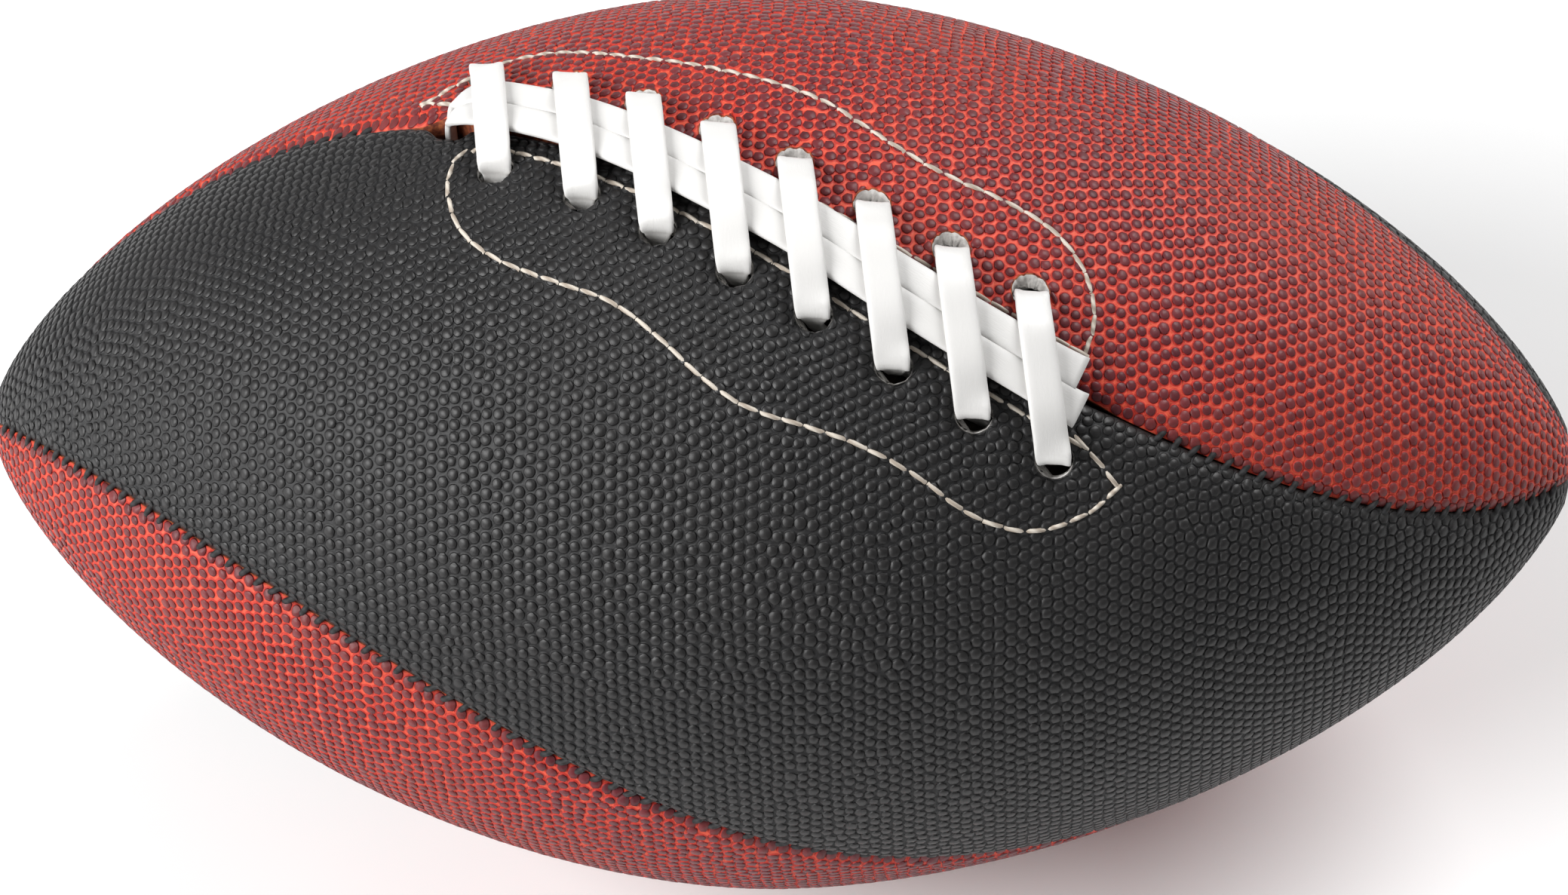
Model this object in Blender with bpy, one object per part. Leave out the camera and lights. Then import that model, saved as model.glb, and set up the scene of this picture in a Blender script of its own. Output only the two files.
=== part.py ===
"""A laced gridiron football: four twisted cover panels sewn over linings, a bladder and its valve.

Metres. X runs from tip to tip, +Z passes through the middle of the lacing, and the origin is the centre.
A place on the ball is given as x, across and height: across is the distance round the ball from the
laced seam at that x, positive towards the back, and height is measured outwards from the cover.
"""

import math

import bmesh
import bpy
from mathutils import Vector

# The ball
HALF_LENGTH = 0.1405
WAIST_RADIUS = 0.0796
NOSE_SHARE = 0.9935          # part of the pointed profile that is left before the blunt nose
SHOULDER_POWER = 1.83
SHOULDER_END = 0.685
LOBE = 0.017                 # how far each panel bellies out past its seams, as a share of the radius
SEAM_TURN = (-57.0, 10.5, -8.5)   # degrees at the tip, for the first, third and fifth power of x
PANEL_COUNT = 4

# The layers, from the outside in
PANEL_THICKNESS = 0.0022
LINING_THICKNESS = 0.0010
FACING_THICKNESS = 0.0010
TONGUE_THICKNESS = 0.0010
BLADDER_THICKNESS = 0.0010
LAYER_GAP = 0.0005
FIT_GAP = 0.0003

# The seams
SEAM_GAP = 0.0003
VALLEY_DEPTH = 0.0016
VALLEY_WIDTH = 0.0040
FLANGE_DEPTH = 0.0042
FLANGE_THICKNESS = 0.0015
SEAM_THREAD_DIAMETER = 0.0009
THREAD_END_ROOM = 0.002
NOSE_LENGTH = 2 * PANEL_THICKNESS   # solid leather at each tip
TIP_ROOM = 0.014             # free length that the turned-in panel ends fill at each tip
LINING_END_ROOM = 0.012

# The lacing
ROW_COUNT = 8
ROW_PITCH = 0.01335
ROW_CENTRE = 0.0018
ROW_SLANT = 0.0024           # how far a row's two holes stand from its middle along X
HOLE_ACROSS = 0.0129
HOLE_SIDES = 8
LACE_WIDTH = 0.0060
LONG_LACE_WIDTH = 0.0050
LACE_THICKNESS = 0.0014
PINCHED_WIDTH = 0.0026       # the lace where it is squeezed through a hole
PINCHED_THICKNESS = 0.0019
HOLE_TOP = 0.0012            # depth in a hole where the lace starts to widen
BEND_LENGTH = 0.0022         # across, over which the lace turns down into a hole
INSIDE_BEND = (0.0006, 0.0022)      # along X, from a hole to the bend's middle and end inside the ball
EYE_BEND = 0.006             # along X, over which the long laces turn down into the eye
LONG_LACE_STEPS = 9
SLIT_START = -0.0580
SLIT_END = 0.0560
SLIT_HALF_WIDTH = 0.0006
SLIT_FADE = 0.006
LACE_TAIL = 0.0575
FACING_INNER = 0.0052
FACING_OUTER = 0.0240
TONGUE_HALF_WIDTH = 0.0235
TONGUE_START = -0.0600
TONGUE_END = 0.0590
STITCH_THREAD_DIAMETER = 0.0007

# The valve
VALVE_PANEL = 1
VALVE_STEM_RADIUS = 0.0032
VALVE_FLANGE_RADIUS = 0.0070
VALVE_FLANGE_THICKNESS = 0.0012
VALVE_BOSS_RADIUS = 0.0040
VALVE_BOSS_LENGTH = 0.0040
VALVE_BORE_RADIUS = 0.0020
VALVE_RECESS = 0.0003
VALVE_CORE_RECESS = 0.0008
VALVE_HEAD_THICKNESS = 0.0012
VALVE_SIDES = 20

# Depths below the cover that the layers lie at
SLIT_EDGE_DEPTH = PANEL_THICKNESS - VALLEY_DEPTH + 2 * FIT_GAP   # a flange's depth where the slit is open
LINING_TOP = PANEL_THICKNESS + LAYER_GAP
LINING_BOTTOM = LINING_TOP + LINING_THICKNESS
FACING_TOP = LINING_BOTTOM + LAYER_GAP
FACING_BOTTOM = FACING_TOP + FACING_THICKNESS
RUN_DROP = 0.0010
RUN_DEPTH = FACING_BOTTOM + LAYER_GAP + RUN_DROP + PINCHED_WIDTH / 2
TONGUE_TOP = RUN_DEPTH + PINCHED_WIDTH / 2 + LAYER_GAP
TONGUE_BOTTOM = TONGUE_TOP + TONGUE_THICKNESS
FLANGE_REACH = VALLEY_DEPTH + FLANGE_DEPTH
BLADDER_RADIUS = WAIST_RADIUS * (1 - LOBE) - FLANGE_REACH - 2 * LAYER_GAP
BLADDER_HALF_LENGTH = HALF_LENGTH - TIP_ROOM

# The lace's two strands in a hole, and the hole that takes them
STRAND_OFFSET = PINCHED_THICKNESS / 2 + 1.6 * FIT_GAP
STRAND_REACH = STRAND_OFFSET + PINCHED_THICKNESS / 2
HOLE_RADIUS = (math.hypot(STRAND_REACH, PINCHED_WIDTH / 2) + FIT_GAP) / math.cos(math.pi / HOLE_SIDES)
LOWER_HEIGHT = FIT_GAP + LACE_THICKNESS / 2
LONG_HEIGHT = LOWER_HEIGHT + LACE_THICKNESS + FIT_GAP
UPPER_HEIGHT = LONG_HEIGHT + LACE_THICKNESS + FIT_GAP
EYE_X = -0.0542
EYE_ACROSS = PINCHED_WIDTH / 2 + FIT_GAP * 0.6
EYE_HALF_LENGTH = PINCHED_THICKNESS / 2 + 2 * FIT_GAP
EYE_HALF_WIDTH = EYE_ACROSS + PINCHED_WIDTH / 2 + 2 * FIT_GAP
LONG_ACROSS = LONG_LACE_WIDTH * 0.63

QUARTER = math.pi / 2
ARC_STEPS = 10               # points along a panel's section, between its seams
STATION_STEPS = 10           # sections from the middle of the ball to a tip


# ---------------------------------------------------------------- the ball's surface

def turn(x):
    """How far the seams have turned round the X axis at x."""
    share = x / HALF_LENGTH
    first, third, fifth = (math.radians(angle) for angle in SEAM_TURN)
    return first * share + third * share ** 3 + fifth * share ** 5


def round_radius(x, waist, half_length):
    """The radius at x of a ball shape without lobes."""
    share = min(abs(x) / half_length, 1.0) * NOSE_SHARE
    return waist * (1 - share ** SHOULDER_POWER) ** SHOULDER_END


def lobe_factor(angle):
    """1 at the middle of a panel and a little less at a seam; angle is counted from the laced seam."""
    return 1 - LOBE * (0.5 + 0.5 * math.cos(PANEL_COUNT * angle))


def radius_at(x, angle, height):
    return round_radius(x, WAIST_RADIUS + height, HALF_LENGTH + height) * lobe_factor(angle)


def spoke(x, angle):
    """The unit vector straight out from the X axis, at an angle from the laced seam."""
    whole = turn(x) + angle
    return Vector((0, math.sin(whole), math.cos(whole)))


def tangent(x, angle):
    """The unit vector round the ball, the way across grows."""
    whole = turn(x) + angle
    return Vector((0, math.cos(whole), -math.sin(whole)))


def normal_at(x, angle):
    step = 0.0005
    slope = (radius_at(x + step, angle, 0) - radius_at(x - step, angle, 0)) / (2 * step)
    return (spoke(x, angle) - Vector((slope, 0, 0))).normalized()


def place(x, across, height):
    angle = across / radius_at(x, 0, 0)
    return Vector((x, 0, 0)) + spoke(x, angle) * radius_at(x, angle, height)


def smooth_step(value):
    value = max(0.0, min(1.0, value))
    return value * value * (3 - 2 * value)


def in_slit(x):
    """1 along the slit under the lacing, fading to 0 past its ends."""
    return min(smooth_step((x - SLIT_START) / SLIT_FADE + 1), smooth_step((SLIT_END - x) / SLIT_FADE + 1))


def half_gap(x, seam):
    """Half the opening between two panels: a sewn seam, the slit, or the eye at the slit's end."""
    if seam % PANEL_COUNT:
        return SEAM_GAP / 2
    slit = SEAM_GAP / 2 + (SLIT_HALF_WIDTH - SEAM_GAP / 2) * in_slit(x)
    from_eye = abs(x - EYE_X) - EYE_HALF_LENGTH
    return slit + (EYE_HALF_WIDTH - slit) * (1 - smooth_step(from_eye / (2 * EYE_HALF_LENGTH)))


def stations(end, eye):
    """X values from tip to tip, closer together towards the tips, with more of them at the eye."""
    values = []
    for step in range(-STATION_STEPS, STATION_STEPS + 1):
        share = step / STATION_STEPS
        values.append(HALF_LENGTH * (0.55 * share + 0.45 * math.sin(share * QUARTER)))
    values = [x for x in values if abs(x) < end - 0.002] + [-end, end]
    if eye:
        beside = [EYE_X + side * EYE_HALF_LENGTH * reach for side in (-1, 1) for reach in (1.0, 3.0)]
        values = [x for x in values if min(abs(x - other) for other in beside) > 0.001] + beside
    return sorted(values)


def panel_stations(laced):
    """A panel's stations, with more at each tip, where its inside ends and the solid nose begins."""
    inside_end = HALF_LENGTH - NOSE_LENGTH
    values = [x for x in stations(HALF_LENGTH - LINING_END_ROOM, laced) if abs(x) < inside_end - 0.002]
    ends = (HALF_LENGTH, inside_end + 0.0003, inside_end - 0.0003)
    return sorted(values + [side * end for side in (-1, 1) for end in ends])


# ---------------------------------------------------------------- materials and meshes

def material(name, colour, roughness):
    made = bpy.data.materials.new(name)
    made.use_nodes = True
    shader = made.node_tree.nodes["Principled BSDF"]
    shader.inputs["Base Color"].default_value = (*colour, 1)
    shader.inputs["Roughness"].default_value = roughness
    made.diffuse_color = (*colour, 1)
    return made


def add_object(name, data, finish):
    made = bpy.data.objects.new(name, data)
    made.data.materials.append(finish)
    bpy.context.collection.objects.link(made)
    return made


def loft(name, rings, finish):
    """A closed solid through rings of the same count; points that coincide in a ring are made one."""
    mesh = bpy.data.meshes.new(name)
    build = bmesh.new()
    rows = [[build.verts.new(point) for point in ring] for ring in rings]
    count = len(rings[0])
    for row, following in zip(rows, rows[1:]):
        for i in range(count):
            j = (i + 1) % count
            if (row[i].co - following[j].co).length < (row[j].co - following[i].co).length:
                halves = ((row[i], row[j], following[j]), (row[i], following[j], following[i]))
            else:
                halves = ((row[i], row[j], following[i]), (row[j], following[j], following[i]))
            for half in halves:
                build.faces.new(half)
    build.faces.new(list(reversed(rows[0])))
    build.faces.new(rows[-1])
    bmesh.ops.remove_doubles(build, verts=build.verts, dist=1e-6)
    bmesh.ops.recalc_face_normals(build, faces=build.faces)
    build.to_mesh(mesh)
    build.free()
    return add_object(name, mesh, finish)


def cut(target, cutter):
    boolean = target.modifiers.new("cut_" + cutter.name, "BOOLEAN")
    boolean.operation = "DIFFERENCE"
    boolean.solver = "EXACT"
    boolean.object = cutter


def drill(name, shafts, radius, sides):
    """One cutter made of a cylinder for each shaft, given as its two ends."""
    mesh = bpy.data.meshes.new(name)
    build = bmesh.new()
    for low, high in shafts:
        along = high - low
        facing = along.to_track_quat("Z", "Y").to_matrix().to_4x4()
        facing.translation = (low + high) / 2
        bmesh.ops.create_cone(build, cap_ends=True, segments=sides, radius1=radius, radius2=radius,
                              depth=along.length, matrix=facing)
    build.to_mesh(mesh)
    build.free()
    cutter = bpy.data.objects.new(name, mesh)
    bpy.context.collection.objects.link(cutter)
    cutter.hide_render = True
    cutter.display_type = "WIRE"
    return cutter


def thread(name, points, diameter, finish):
    curve = bpy.data.curves.new(name, "CURVE")
    curve.dimensions = "3D"
    curve.bevel_depth = diameter / 2
    curve.bevel_resolution = 1
    curve.use_fill_caps = True
    spline = curve.splines.new("POLY")
    spline.points.add(len(points) - 1)
    for slot, point in zip(spline.points, points):
        slot.co = (*point, 1)
    return add_object(name, curve, finish)


# ---------------------------------------------------------------- cover panels and linings

def wedge_point(x, panel, side, along, inset):
    """A point beside a panel's edge: along from the axis, inset from the seam's plane into the panel."""
    middle = (panel + 0.5) * QUARTER
    out, round_ball = spoke(x, middle), tangent(x, middle)
    edge = out * math.cos(QUARTER / 2) + round_ball * side * math.sin(QUARTER / 2)
    inwards = out * math.sin(QUARTER / 2) - round_ball * side * math.cos(QUARTER / 2)
    return Vector((x, 0, 0)) + edge * along + inwards * inset


def arc_angle(radius, inset):
    """The angle from a panel's middle to where an arc meets a line inset from the seam's plane."""
    return QUARTER / 2 - math.asin(min(inset / radius, 0.7))


def outer_arc(x, panel, gaps):
    """The cover's outline at x: domed in the middle and dipping into the seams' valleys."""
    radius = round_radius(x, WAIST_RADIUS, HALF_LENGTH)
    low, high = -arc_angle(radius, gaps[0]), arc_angle(radius, gaps[1])
    half_width = radius * QUARTER / 2
    scale = min(1.0, half_width / (3 * VALLEY_WIDTH))
    width, depth = VALLEY_WIDTH * scale, VALLEY_DEPTH * scale
    edge_steps = [width * share / radius for share in (0, 0.4, 1.0)]
    inner_low, inner_high = low + edge_steps[-1], high - edge_steps[-1]
    middles = [inner_low + (inner_high - inner_low) * i / (ARC_STEPS - 1) for i in range(1, ARC_STEPS - 1)]
    angles = [low + step for step in edge_steps] + middles + [high - step for step in reversed(edge_steps)]
    points = []
    for angle in angles:
        from_edge = min(angle - low, high - angle) * radius
        dip = depth * max(0.0, 1 - from_edge / width) ** 2
        whole = (panel + 0.5) * QUARTER + angle
        points.append(Vector((x, 0, 0)) + spoke(x, whole) * (radius * lobe_factor(whole) - dip))
    return points, radius * lobe_factor(0) - depth


def panel_ring(x, panel):
    """A cover panel's section at x: skin, right flange, underside, left flange."""
    gaps = (half_gap(x, panel), half_gap(x, panel + 1))
    skin, edge_radius = outer_arc(x, panel, gaps)
    inner = round_radius(x, WAIST_RADIUS - PANEL_THICKNESS, HALF_LENGTH - PANEL_THICKNESS)
    if abs(x) > HALF_LENGTH - NOSE_LENGTH:
        apex = Vector((x, 0, 0)) + spoke(x, (panel + 0.5) * QUARTER) * gaps[0] * math.sqrt(2)
        return skin + [apex] * (ARC_STEPS + 4)
    thickness = min(FLANGE_THICKNESS, 0.35 * inner)
    ends, angles = [], []
    for side, gap in ((1, gaps[1]), (-1, gaps[0])):
        open_edge = in_slit(x) if (panel + (side > 0)) % PANEL_COUNT == 0 else 0.0
        depth = FLANGE_DEPTH + (SLIT_EDGE_DEPTH - FLANGE_DEPTH) * open_edge
        root = inner * math.cos(math.asin(min((gap + thickness) / inner, 0.7)))
        tip = min(edge_radius - depth, root - FIT_GAP, 0.8 * root if inner < 2 * TIP_ROOM else root)
        ends.append([wedge_point(x, panel, side, tip, inset) for inset in (gap, gap + thickness)])
        angles.append(side * arc_angle(inner, gap + thickness))
    underside = []
    for i in range(ARC_STEPS):
        angle = angles[0] + (angles[1] - angles[0]) * i / (ARC_STEPS - 1)
        whole = (panel + 0.5) * QUARTER + angle
        underside.append(Vector((x, 0, 0)) + spoke(x, whole) * inner * lobe_factor(whole))
    return skin + ends[0] + underside + ends[1][::-1]


def lining_ring(x, panel):
    """A lining's section at x: it lies between the panel's two turned-in flanges."""
    insets = [half_gap(x, panel + side) + FLANGE_THICKNESS + LAYER_GAP for side in (0, 1)]
    ring = []
    for depth, order in ((LINING_TOP, 1), (LINING_BOTTOM, -1)):
        radius = round_radius(x, WAIST_RADIUS - depth, HALF_LENGTH - depth)
        low, high = -arc_angle(radius, insets[0]), arc_angle(radius, insets[1])
        arc = []
        for i in range(ARC_STEPS):
            whole = (panel + 0.5) * QUARTER + low + (high - low) * i / (ARC_STEPS - 1)
            arc.append(Vector((x, 0, 0)) + spoke(x, whole) * radius * lobe_factor(whole))
        ring += arc[::order]
    return ring


def strip(name, start, end, low, high, top, bottom, finish, across_steps):
    """A flat layer of cloth or leather that follows the cover at a depth."""
    rings = []
    inner = [x for x in stations(HALF_LENGTH, False) if start + 0.003 < x < end - 0.003]
    for x in [start] + inner + [end]:
        acrosses = [low + (high - low) * j / across_steps for j in range(across_steps + 1)]
        rings.append([place(x, across, -top) for across in acrosses]
                     + [place(x, across, -bottom) for across in reversed(acrosses)])
    return loft(name, rings, finish)


# ---------------------------------------------------------------- the lace

def row_x(row):
    return ROW_CENTRE + (row - (ROW_COUNT - 1) / 2) * ROW_PITCH


def hole_x(row, side):
    return row_x(row) - side * ROW_SLANT


def knot(x, across, height, width, thickness, facing):
    """One section of the lace; facing is the way its flat face looks."""
    return {"point": place(x, across, height), "width": width, "thickness": thickness, "facing": facing}


def column(row, side, strand, height):
    """The lace pinched in a hole, its flat face looking away from the slit."""
    x = hole_x(row, side)
    across = side * (HOLE_ACROSS + strand * STRAND_OFFSET)
    facing = tangent(x, across / radius_at(x, 0, 0)) * side
    return knot(x, across, height, PINCHED_WIDTH, PINCHED_THICKNESS, facing)


def over_row(row, from_side, strand):
    """The lace from hole to hole over the cover; strand is 1 over the long laces and -1 under them."""
    column_across = HOLE_ACROSS + strand * STRAND_OFFSET
    half_waist = (LACE_WIDTH + PINCHED_WIDTH) / 2
    beside_long = LONG_ACROSS + LONG_LACE_WIDTH * 0.6
    # each step out of a hole: how far across from the hole, the height and the width
    if strand > 0:
        shape = ((-0.0003, 0.0010, half_waist), (-0.0014, 0.0022, LACE_WIDTH),
                 (-0.0038, LONG_HEIGHT + 0.0003, LACE_WIDTH))
        flat = (beside_long, UPPER_HEIGHT)
    else:
        shape = ((-0.0003, 0.0008, (PINCHED_WIDTH + half_waist) / 2),
                 (-0.0014, LOWER_HEIGHT + 0.0003, half_waist), (-0.0032, LOWER_HEIGHT, LACE_WIDTH))
        flat = (beside_long, LOWER_HEIGHT)
    half = [(column_across + shift, height, width) for shift, height, width in shape]
    half.append((flat[0], flat[1], LACE_WIDTH))
    in_hole = (-FACING_BOTTOM - FIT_GAP, -HOLE_TOP)
    sections = [column(row, from_side, strand, height) for height in in_hole]
    crossing = [(from_side * across, height, width) for across, height, width in half]
    crossing.append((0.0, flat[1], LACE_WIDTH))
    crossing += [(-from_side * across, height, width) for across, height, width in reversed(half)]
    for across, height, width in crossing:
        x = row_x(row) - ROW_SLANT * across / HOLE_ACROSS
        angle = across / radius_at(x, 0, 0)
        outwards = normal_at(x, angle)
        lean = smooth_step((abs(across) - column_across) / BEND_LENGTH + 1)
        facing = outwards * (1 - lean) + tangent(x, angle) * math.copysign(lean, across)
        sections.append(knot(x, across, height, width, LACE_THICKNESS, facing))
    return sections + [column(row, -from_side, strand, height) for height in in_hole[::-1]]


def inside_run(row, next_row, side, strand):
    """The lace inside the ball between two neighbouring holes of one side."""
    across = side * (HOLE_ACROSS + strand * STRAND_OFFSET)
    start, end = hole_x(row, side), hole_x(next_row, side)
    way = math.copysign(1, end - start)
    sections = []
    near, far = way * INSIDE_BEND[0], way * INSIDE_BEND[1]
    for x, drop in ((start + near, 0.6), (start + far, 1.0), ((start + end) / 2, 1.0), (end - far, 1.0),
                    (end - near, 0.6)):
        depth = FACING_BOTTOM + (RUN_DEPTH - FACING_BOTTOM) * drop
        facing = tangent(x, across / radius_at(x, 0, 0)) * side
        sections.append(knot(x, across, -depth, PINCHED_WIDTH, PINCHED_THICKNESS, facing))
    return sections


def long_strand(side):
    """A long lace over the slit, from its cut tail down into the eye at the slit's end."""
    sections = []
    flat_end = EYE_X + EYE_BEND
    for i in range(LONG_LACE_STEPS + 1):
        x = LACE_TAIL + (flat_end - LACE_TAIL) * i / LONG_LACE_STEPS
        across = side * LONG_ACROSS
        sections.append(knot(x, across, LONG_HEIGHT, LONG_LACE_WIDTH, LACE_THICKNESS,
                             normal_at(x, across / radius_at(x, 0, 0))))
    back = Vector((-1, 0, 0)) - tangent(EYE_X, 0) * turn_slope(EYE_X)
    for x_shift, share, height, width in ((0.0030, 0.75, LONG_HEIGHT - 0.0002, 0.8),
                                          (0.0009, 0.25, LONG_HEIGHT - 0.0012, 0.35)):
        across = side * (EYE_ACROSS + (LONG_ACROSS - EYE_ACROSS) * share)
        facing = normal_at(EYE_X, 0) * share + back * (1 - share)
        width = PINCHED_WIDTH + (LONG_LACE_WIDTH - PINCHED_WIDTH) * width
        sections.append(knot(EYE_X + x_shift, across, height, width, LACE_THICKNESS, facing))
    for height in (-0.0002, -FACING_BOTTOM):
        sections.append(knot(EYE_X, side * EYE_ACROSS, height, PINCHED_WIDTH, PINCHED_THICKNESS, back))
    return sections


def turn_slope(x):
    """How far a seam moves round the ball for each unit along X."""
    step = 0.0005
    return (turn(x + step) - turn(x - step)) / (2 * step) * radius_at(x, 0, 0)


def inside_path(points):
    """The lace inside the ball through x and across points, lying flat under the cover."""
    return [knot(x, across, -RUN_DEPTH, PINCHED_WIDTH, PINCHED_THICKNESS,
                 -normal_at(x, across / radius_at(x, 0, 0))) for x, across in points]


def lace_sections():
    """The whole lace: it enters at the eye, zigzags to the last row, and comes back under itself."""
    outer, inner = HOLE_ACROSS + STRAND_OFFSET, HOLE_ACROSS - STRAND_OFFSET
    last = ROW_COUNT - 1
    path = long_strand(1)
    first_hole = hole_x(0, 1)
    path += inside_path([(EYE_X + 0.0004, 0.0035), (EYE_X + 0.0008, outer - 0.0062),
                         (first_hole - 0.0052, outer - 0.0017), (first_hole - 0.0026, outer)])
    side = 1
    for row in range(ROW_COUNT):
        path += over_row(row, side, 1)
        side = -side
        if row < last:
            path += inside_run(row, row + 1, side, 1)
    end_red, end_black = hole_x(last, 1), hole_x(last, -1)
    path += inside_path([(end_red + 0.0026, outer), (end_red + 0.0048, inner - 0.0010),
                         (end_black, 0.0060), (end_black, -0.0060), (end_black, -inner + 0.0024)])
    side = -1
    for row in range(last, -1, -1):
        path += over_row(row, side, -1)
        side = -side
        if row > 0:
            path += inside_run(row, row - 1, side, -1)
    path += inside_path([(hole_x(0, -1) - 0.0022, -inner + 0.0006), (EYE_X + 0.0030, -0.0050)])
    return path + list(reversed(long_strand(-1)))


def make_lace(finish):
    sections = lace_sections()
    rings = []
    for i, section in enumerate(sections):
        before = sections[max(i - 1, 0)]["point"]
        after = sections[min(i + 1, len(sections) - 1)]["point"]
        along = (after - before).normalized()
        face = section["facing"] - along * section["facing"].dot(along)
        face.normalize()
        side = along.cross(face)
        half_width, half_thickness = section["width"] / 2, section["thickness"] / 2
        chamfer = 0.35 * half_thickness
        corners = [(half_width, half_thickness - chamfer), (half_width - chamfer, half_thickness),
                   (chamfer - half_width, half_thickness), (-half_width, half_thickness - chamfer),
                   (-half_width, chamfer - half_thickness), (chamfer - half_width, -half_thickness),
                   (half_width - chamfer, -half_thickness), (half_width, chamfer - half_thickness)]
        rings.append([section["point"] + side * u + face * v for u, v in corners])
    return loft("lace", rings, finish)


# ---------------------------------------------------------------- threads

def seam_points(seam, start, end):
    height = SEAM_THREAD_DIAMETER / 2 + FIT_GAP
    points = []
    inner = [x for x in panel_stations(True) if start + 0.002 < x < end - 0.002]
    for x in [start] + inner + [end]:
        radius = round_radius(x, WAIST_RADIUS, HALF_LENGTH)
        scale = min(1.0, radius * QUARTER / 2 / (3 * VALLEY_WIDTH))
        bottom = radius * lobe_factor(0) - VALLEY_DEPTH * scale
        points.append(Vector((x, 0, 0)) + spoke(x, seam * QUARTER) * (bottom + height))
    return points


def smooth_route(knots, samples):
    """Points on a smooth curve through the knots, each given as x and across."""
    route = []
    for i in range(len(knots) - 1):
        before, start = knots[max(i - 1, 0)], knots[i]
        end, after = knots[i + 1], knots[min(i + 2, len(knots) - 1)]
        for j in range(samples):
            s = j / samples
            route.append([
                0.5 * (2 * b + (c - a) * s + (2 * a - 5 * b + 4 * c - d) * s ** 2
                       + (3 * b - a - 3 * c + d) * s ** 3)
                for a, b, c, d in zip(before, start, end, after)])
    return route + [knots[-1]]


# the two lines of cream stitches, as x and across
BACK_OUTLINE = ((-0.0560, 0.0052), (-0.0592, 0.0056), (-0.0546, 0.0117), (-0.0467, 0.0196),
                (-0.0374, 0.0240), (-0.0228, 0.0256), (-0.0082, 0.0280), (0.0085, 0.0300),
                (0.0203, 0.0277), (0.0300, 0.0266), (0.0420, 0.0273), (0.0496, 0.0262),
                (0.0547, 0.0217), (0.0567, 0.0150), (0.0558, 0.0092))
FRONT_OUTLINE = ((-0.0495, -0.0085), (-0.0522, -0.0107), (-0.0524, -0.0183), (-0.0493, -0.0250),
                 (-0.0423, -0.0287), (-0.0320, -0.0292), (-0.0228, -0.0287), (-0.0145, -0.0307),
                 (-0.0063, -0.0336), (0.0015, -0.0338), (0.0098, -0.0314), (0.0194, -0.0288),
                 (0.0290, -0.0281), (0.0370, -0.0290), (0.0450, -0.0273), (0.0521, -0.0227),
                 (0.0598, -0.0146), (0.0614, -0.0115), (0.0579, -0.0089), (0.0552, -0.0074))


def stitch_line(name, outline, finish):
    height = STITCH_THREAD_DIAMETER / 2 + FIT_GAP
    points = [place(x, across, height) for x, across in smooth_route(outline, 3)]
    return thread(name, points, STITCH_THREAD_DIAMETER, finish)


# ---------------------------------------------------------------- bladder and valve

def dent(x, angle):
    """How far the bladder is pressed in below its round shape by the tongue and the lacing."""
    across = abs(angle) * radius_at(x, 0, 0)
    wide = 1 - smooth_step((across - TONGUE_HALF_WIDTH - 0.004) / 0.012)
    long = min(smooth_step((x - TONGUE_START) / 0.014 + 1.3), smooth_step((TONGUE_END - x) / 0.014 + 1.3))
    return wide * long


def bladder_radius(x, angle):
    free = round_radius(x, BLADDER_RADIUS, BLADDER_HALF_LENGTH)
    pressed = radius_at(x, angle, -TONGUE_BOTTOM - 2 * LAYER_GAP)
    return free + (min(free, pressed) - free) * dent(x, angle)


def make_bladder(finish):
    degrees = (0, 9, 18, 28, 40, 54, 70, 88, 108, 132, 156, 180)
    angles = [math.radians(d) for d in degrees] + [math.radians(-d) for d in reversed(degrees[1:-1])]
    rings = []
    for x in stations(BLADDER_HALF_LENGTH, False):
        rings.append([Vector((x, 0, 0)) + spoke(x, angle) * bladder_radius(x, angle) for angle in angles])
    bladder = loft("bladder", rings, finish)
    wall = bladder.modifiers.new("wall", "SOLIDIFY")
    wall.thickness = BLADDER_THICKNESS
    wall.offset = -1
    return bladder


def valve_frame():
    """The centre of the valve panel's skin and the way out from it."""
    angle = (VALVE_PANEL + 0.5) * QUARTER
    return spoke(0, angle) * radius_at(0, angle, 0), spoke(0, angle)


def turned(name, profile, finish):
    """A solid turned about the valve's axis from depth and radius pairs, closed on the axis or on a bore."""
    centre, out = valve_frame()
    sideways = Vector((1, 0, 0))
    upright = out.cross(sideways)
    mesh = bpy.data.meshes.new(name)
    build = bmesh.new()
    rows = []
    for depth, radius in profile:
        row = []
        for i in range(VALVE_SIDES):
            angle = 2 * math.pi * i / VALVE_SIDES
            point = centre - out * depth + (sideways * math.cos(angle) + upright * math.sin(angle)) * radius
            row.append(build.verts.new(point))
        rows.append(row)
    closed = rows + [rows[0]]
    for row, following in zip(closed, closed[1:]):
        for i in range(VALVE_SIDES):
            j = (i + 1) % VALVE_SIDES
            build.faces.new((row[i], row[j], following[j], following[i]))
    bmesh.ops.remove_doubles(build, verts=build.verts, dist=1e-6)
    bmesh.ops.recalc_face_normals(build, faces=build.faces)
    build.to_mesh(mesh)
    build.free()
    return add_object(name, mesh, finish)


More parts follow.
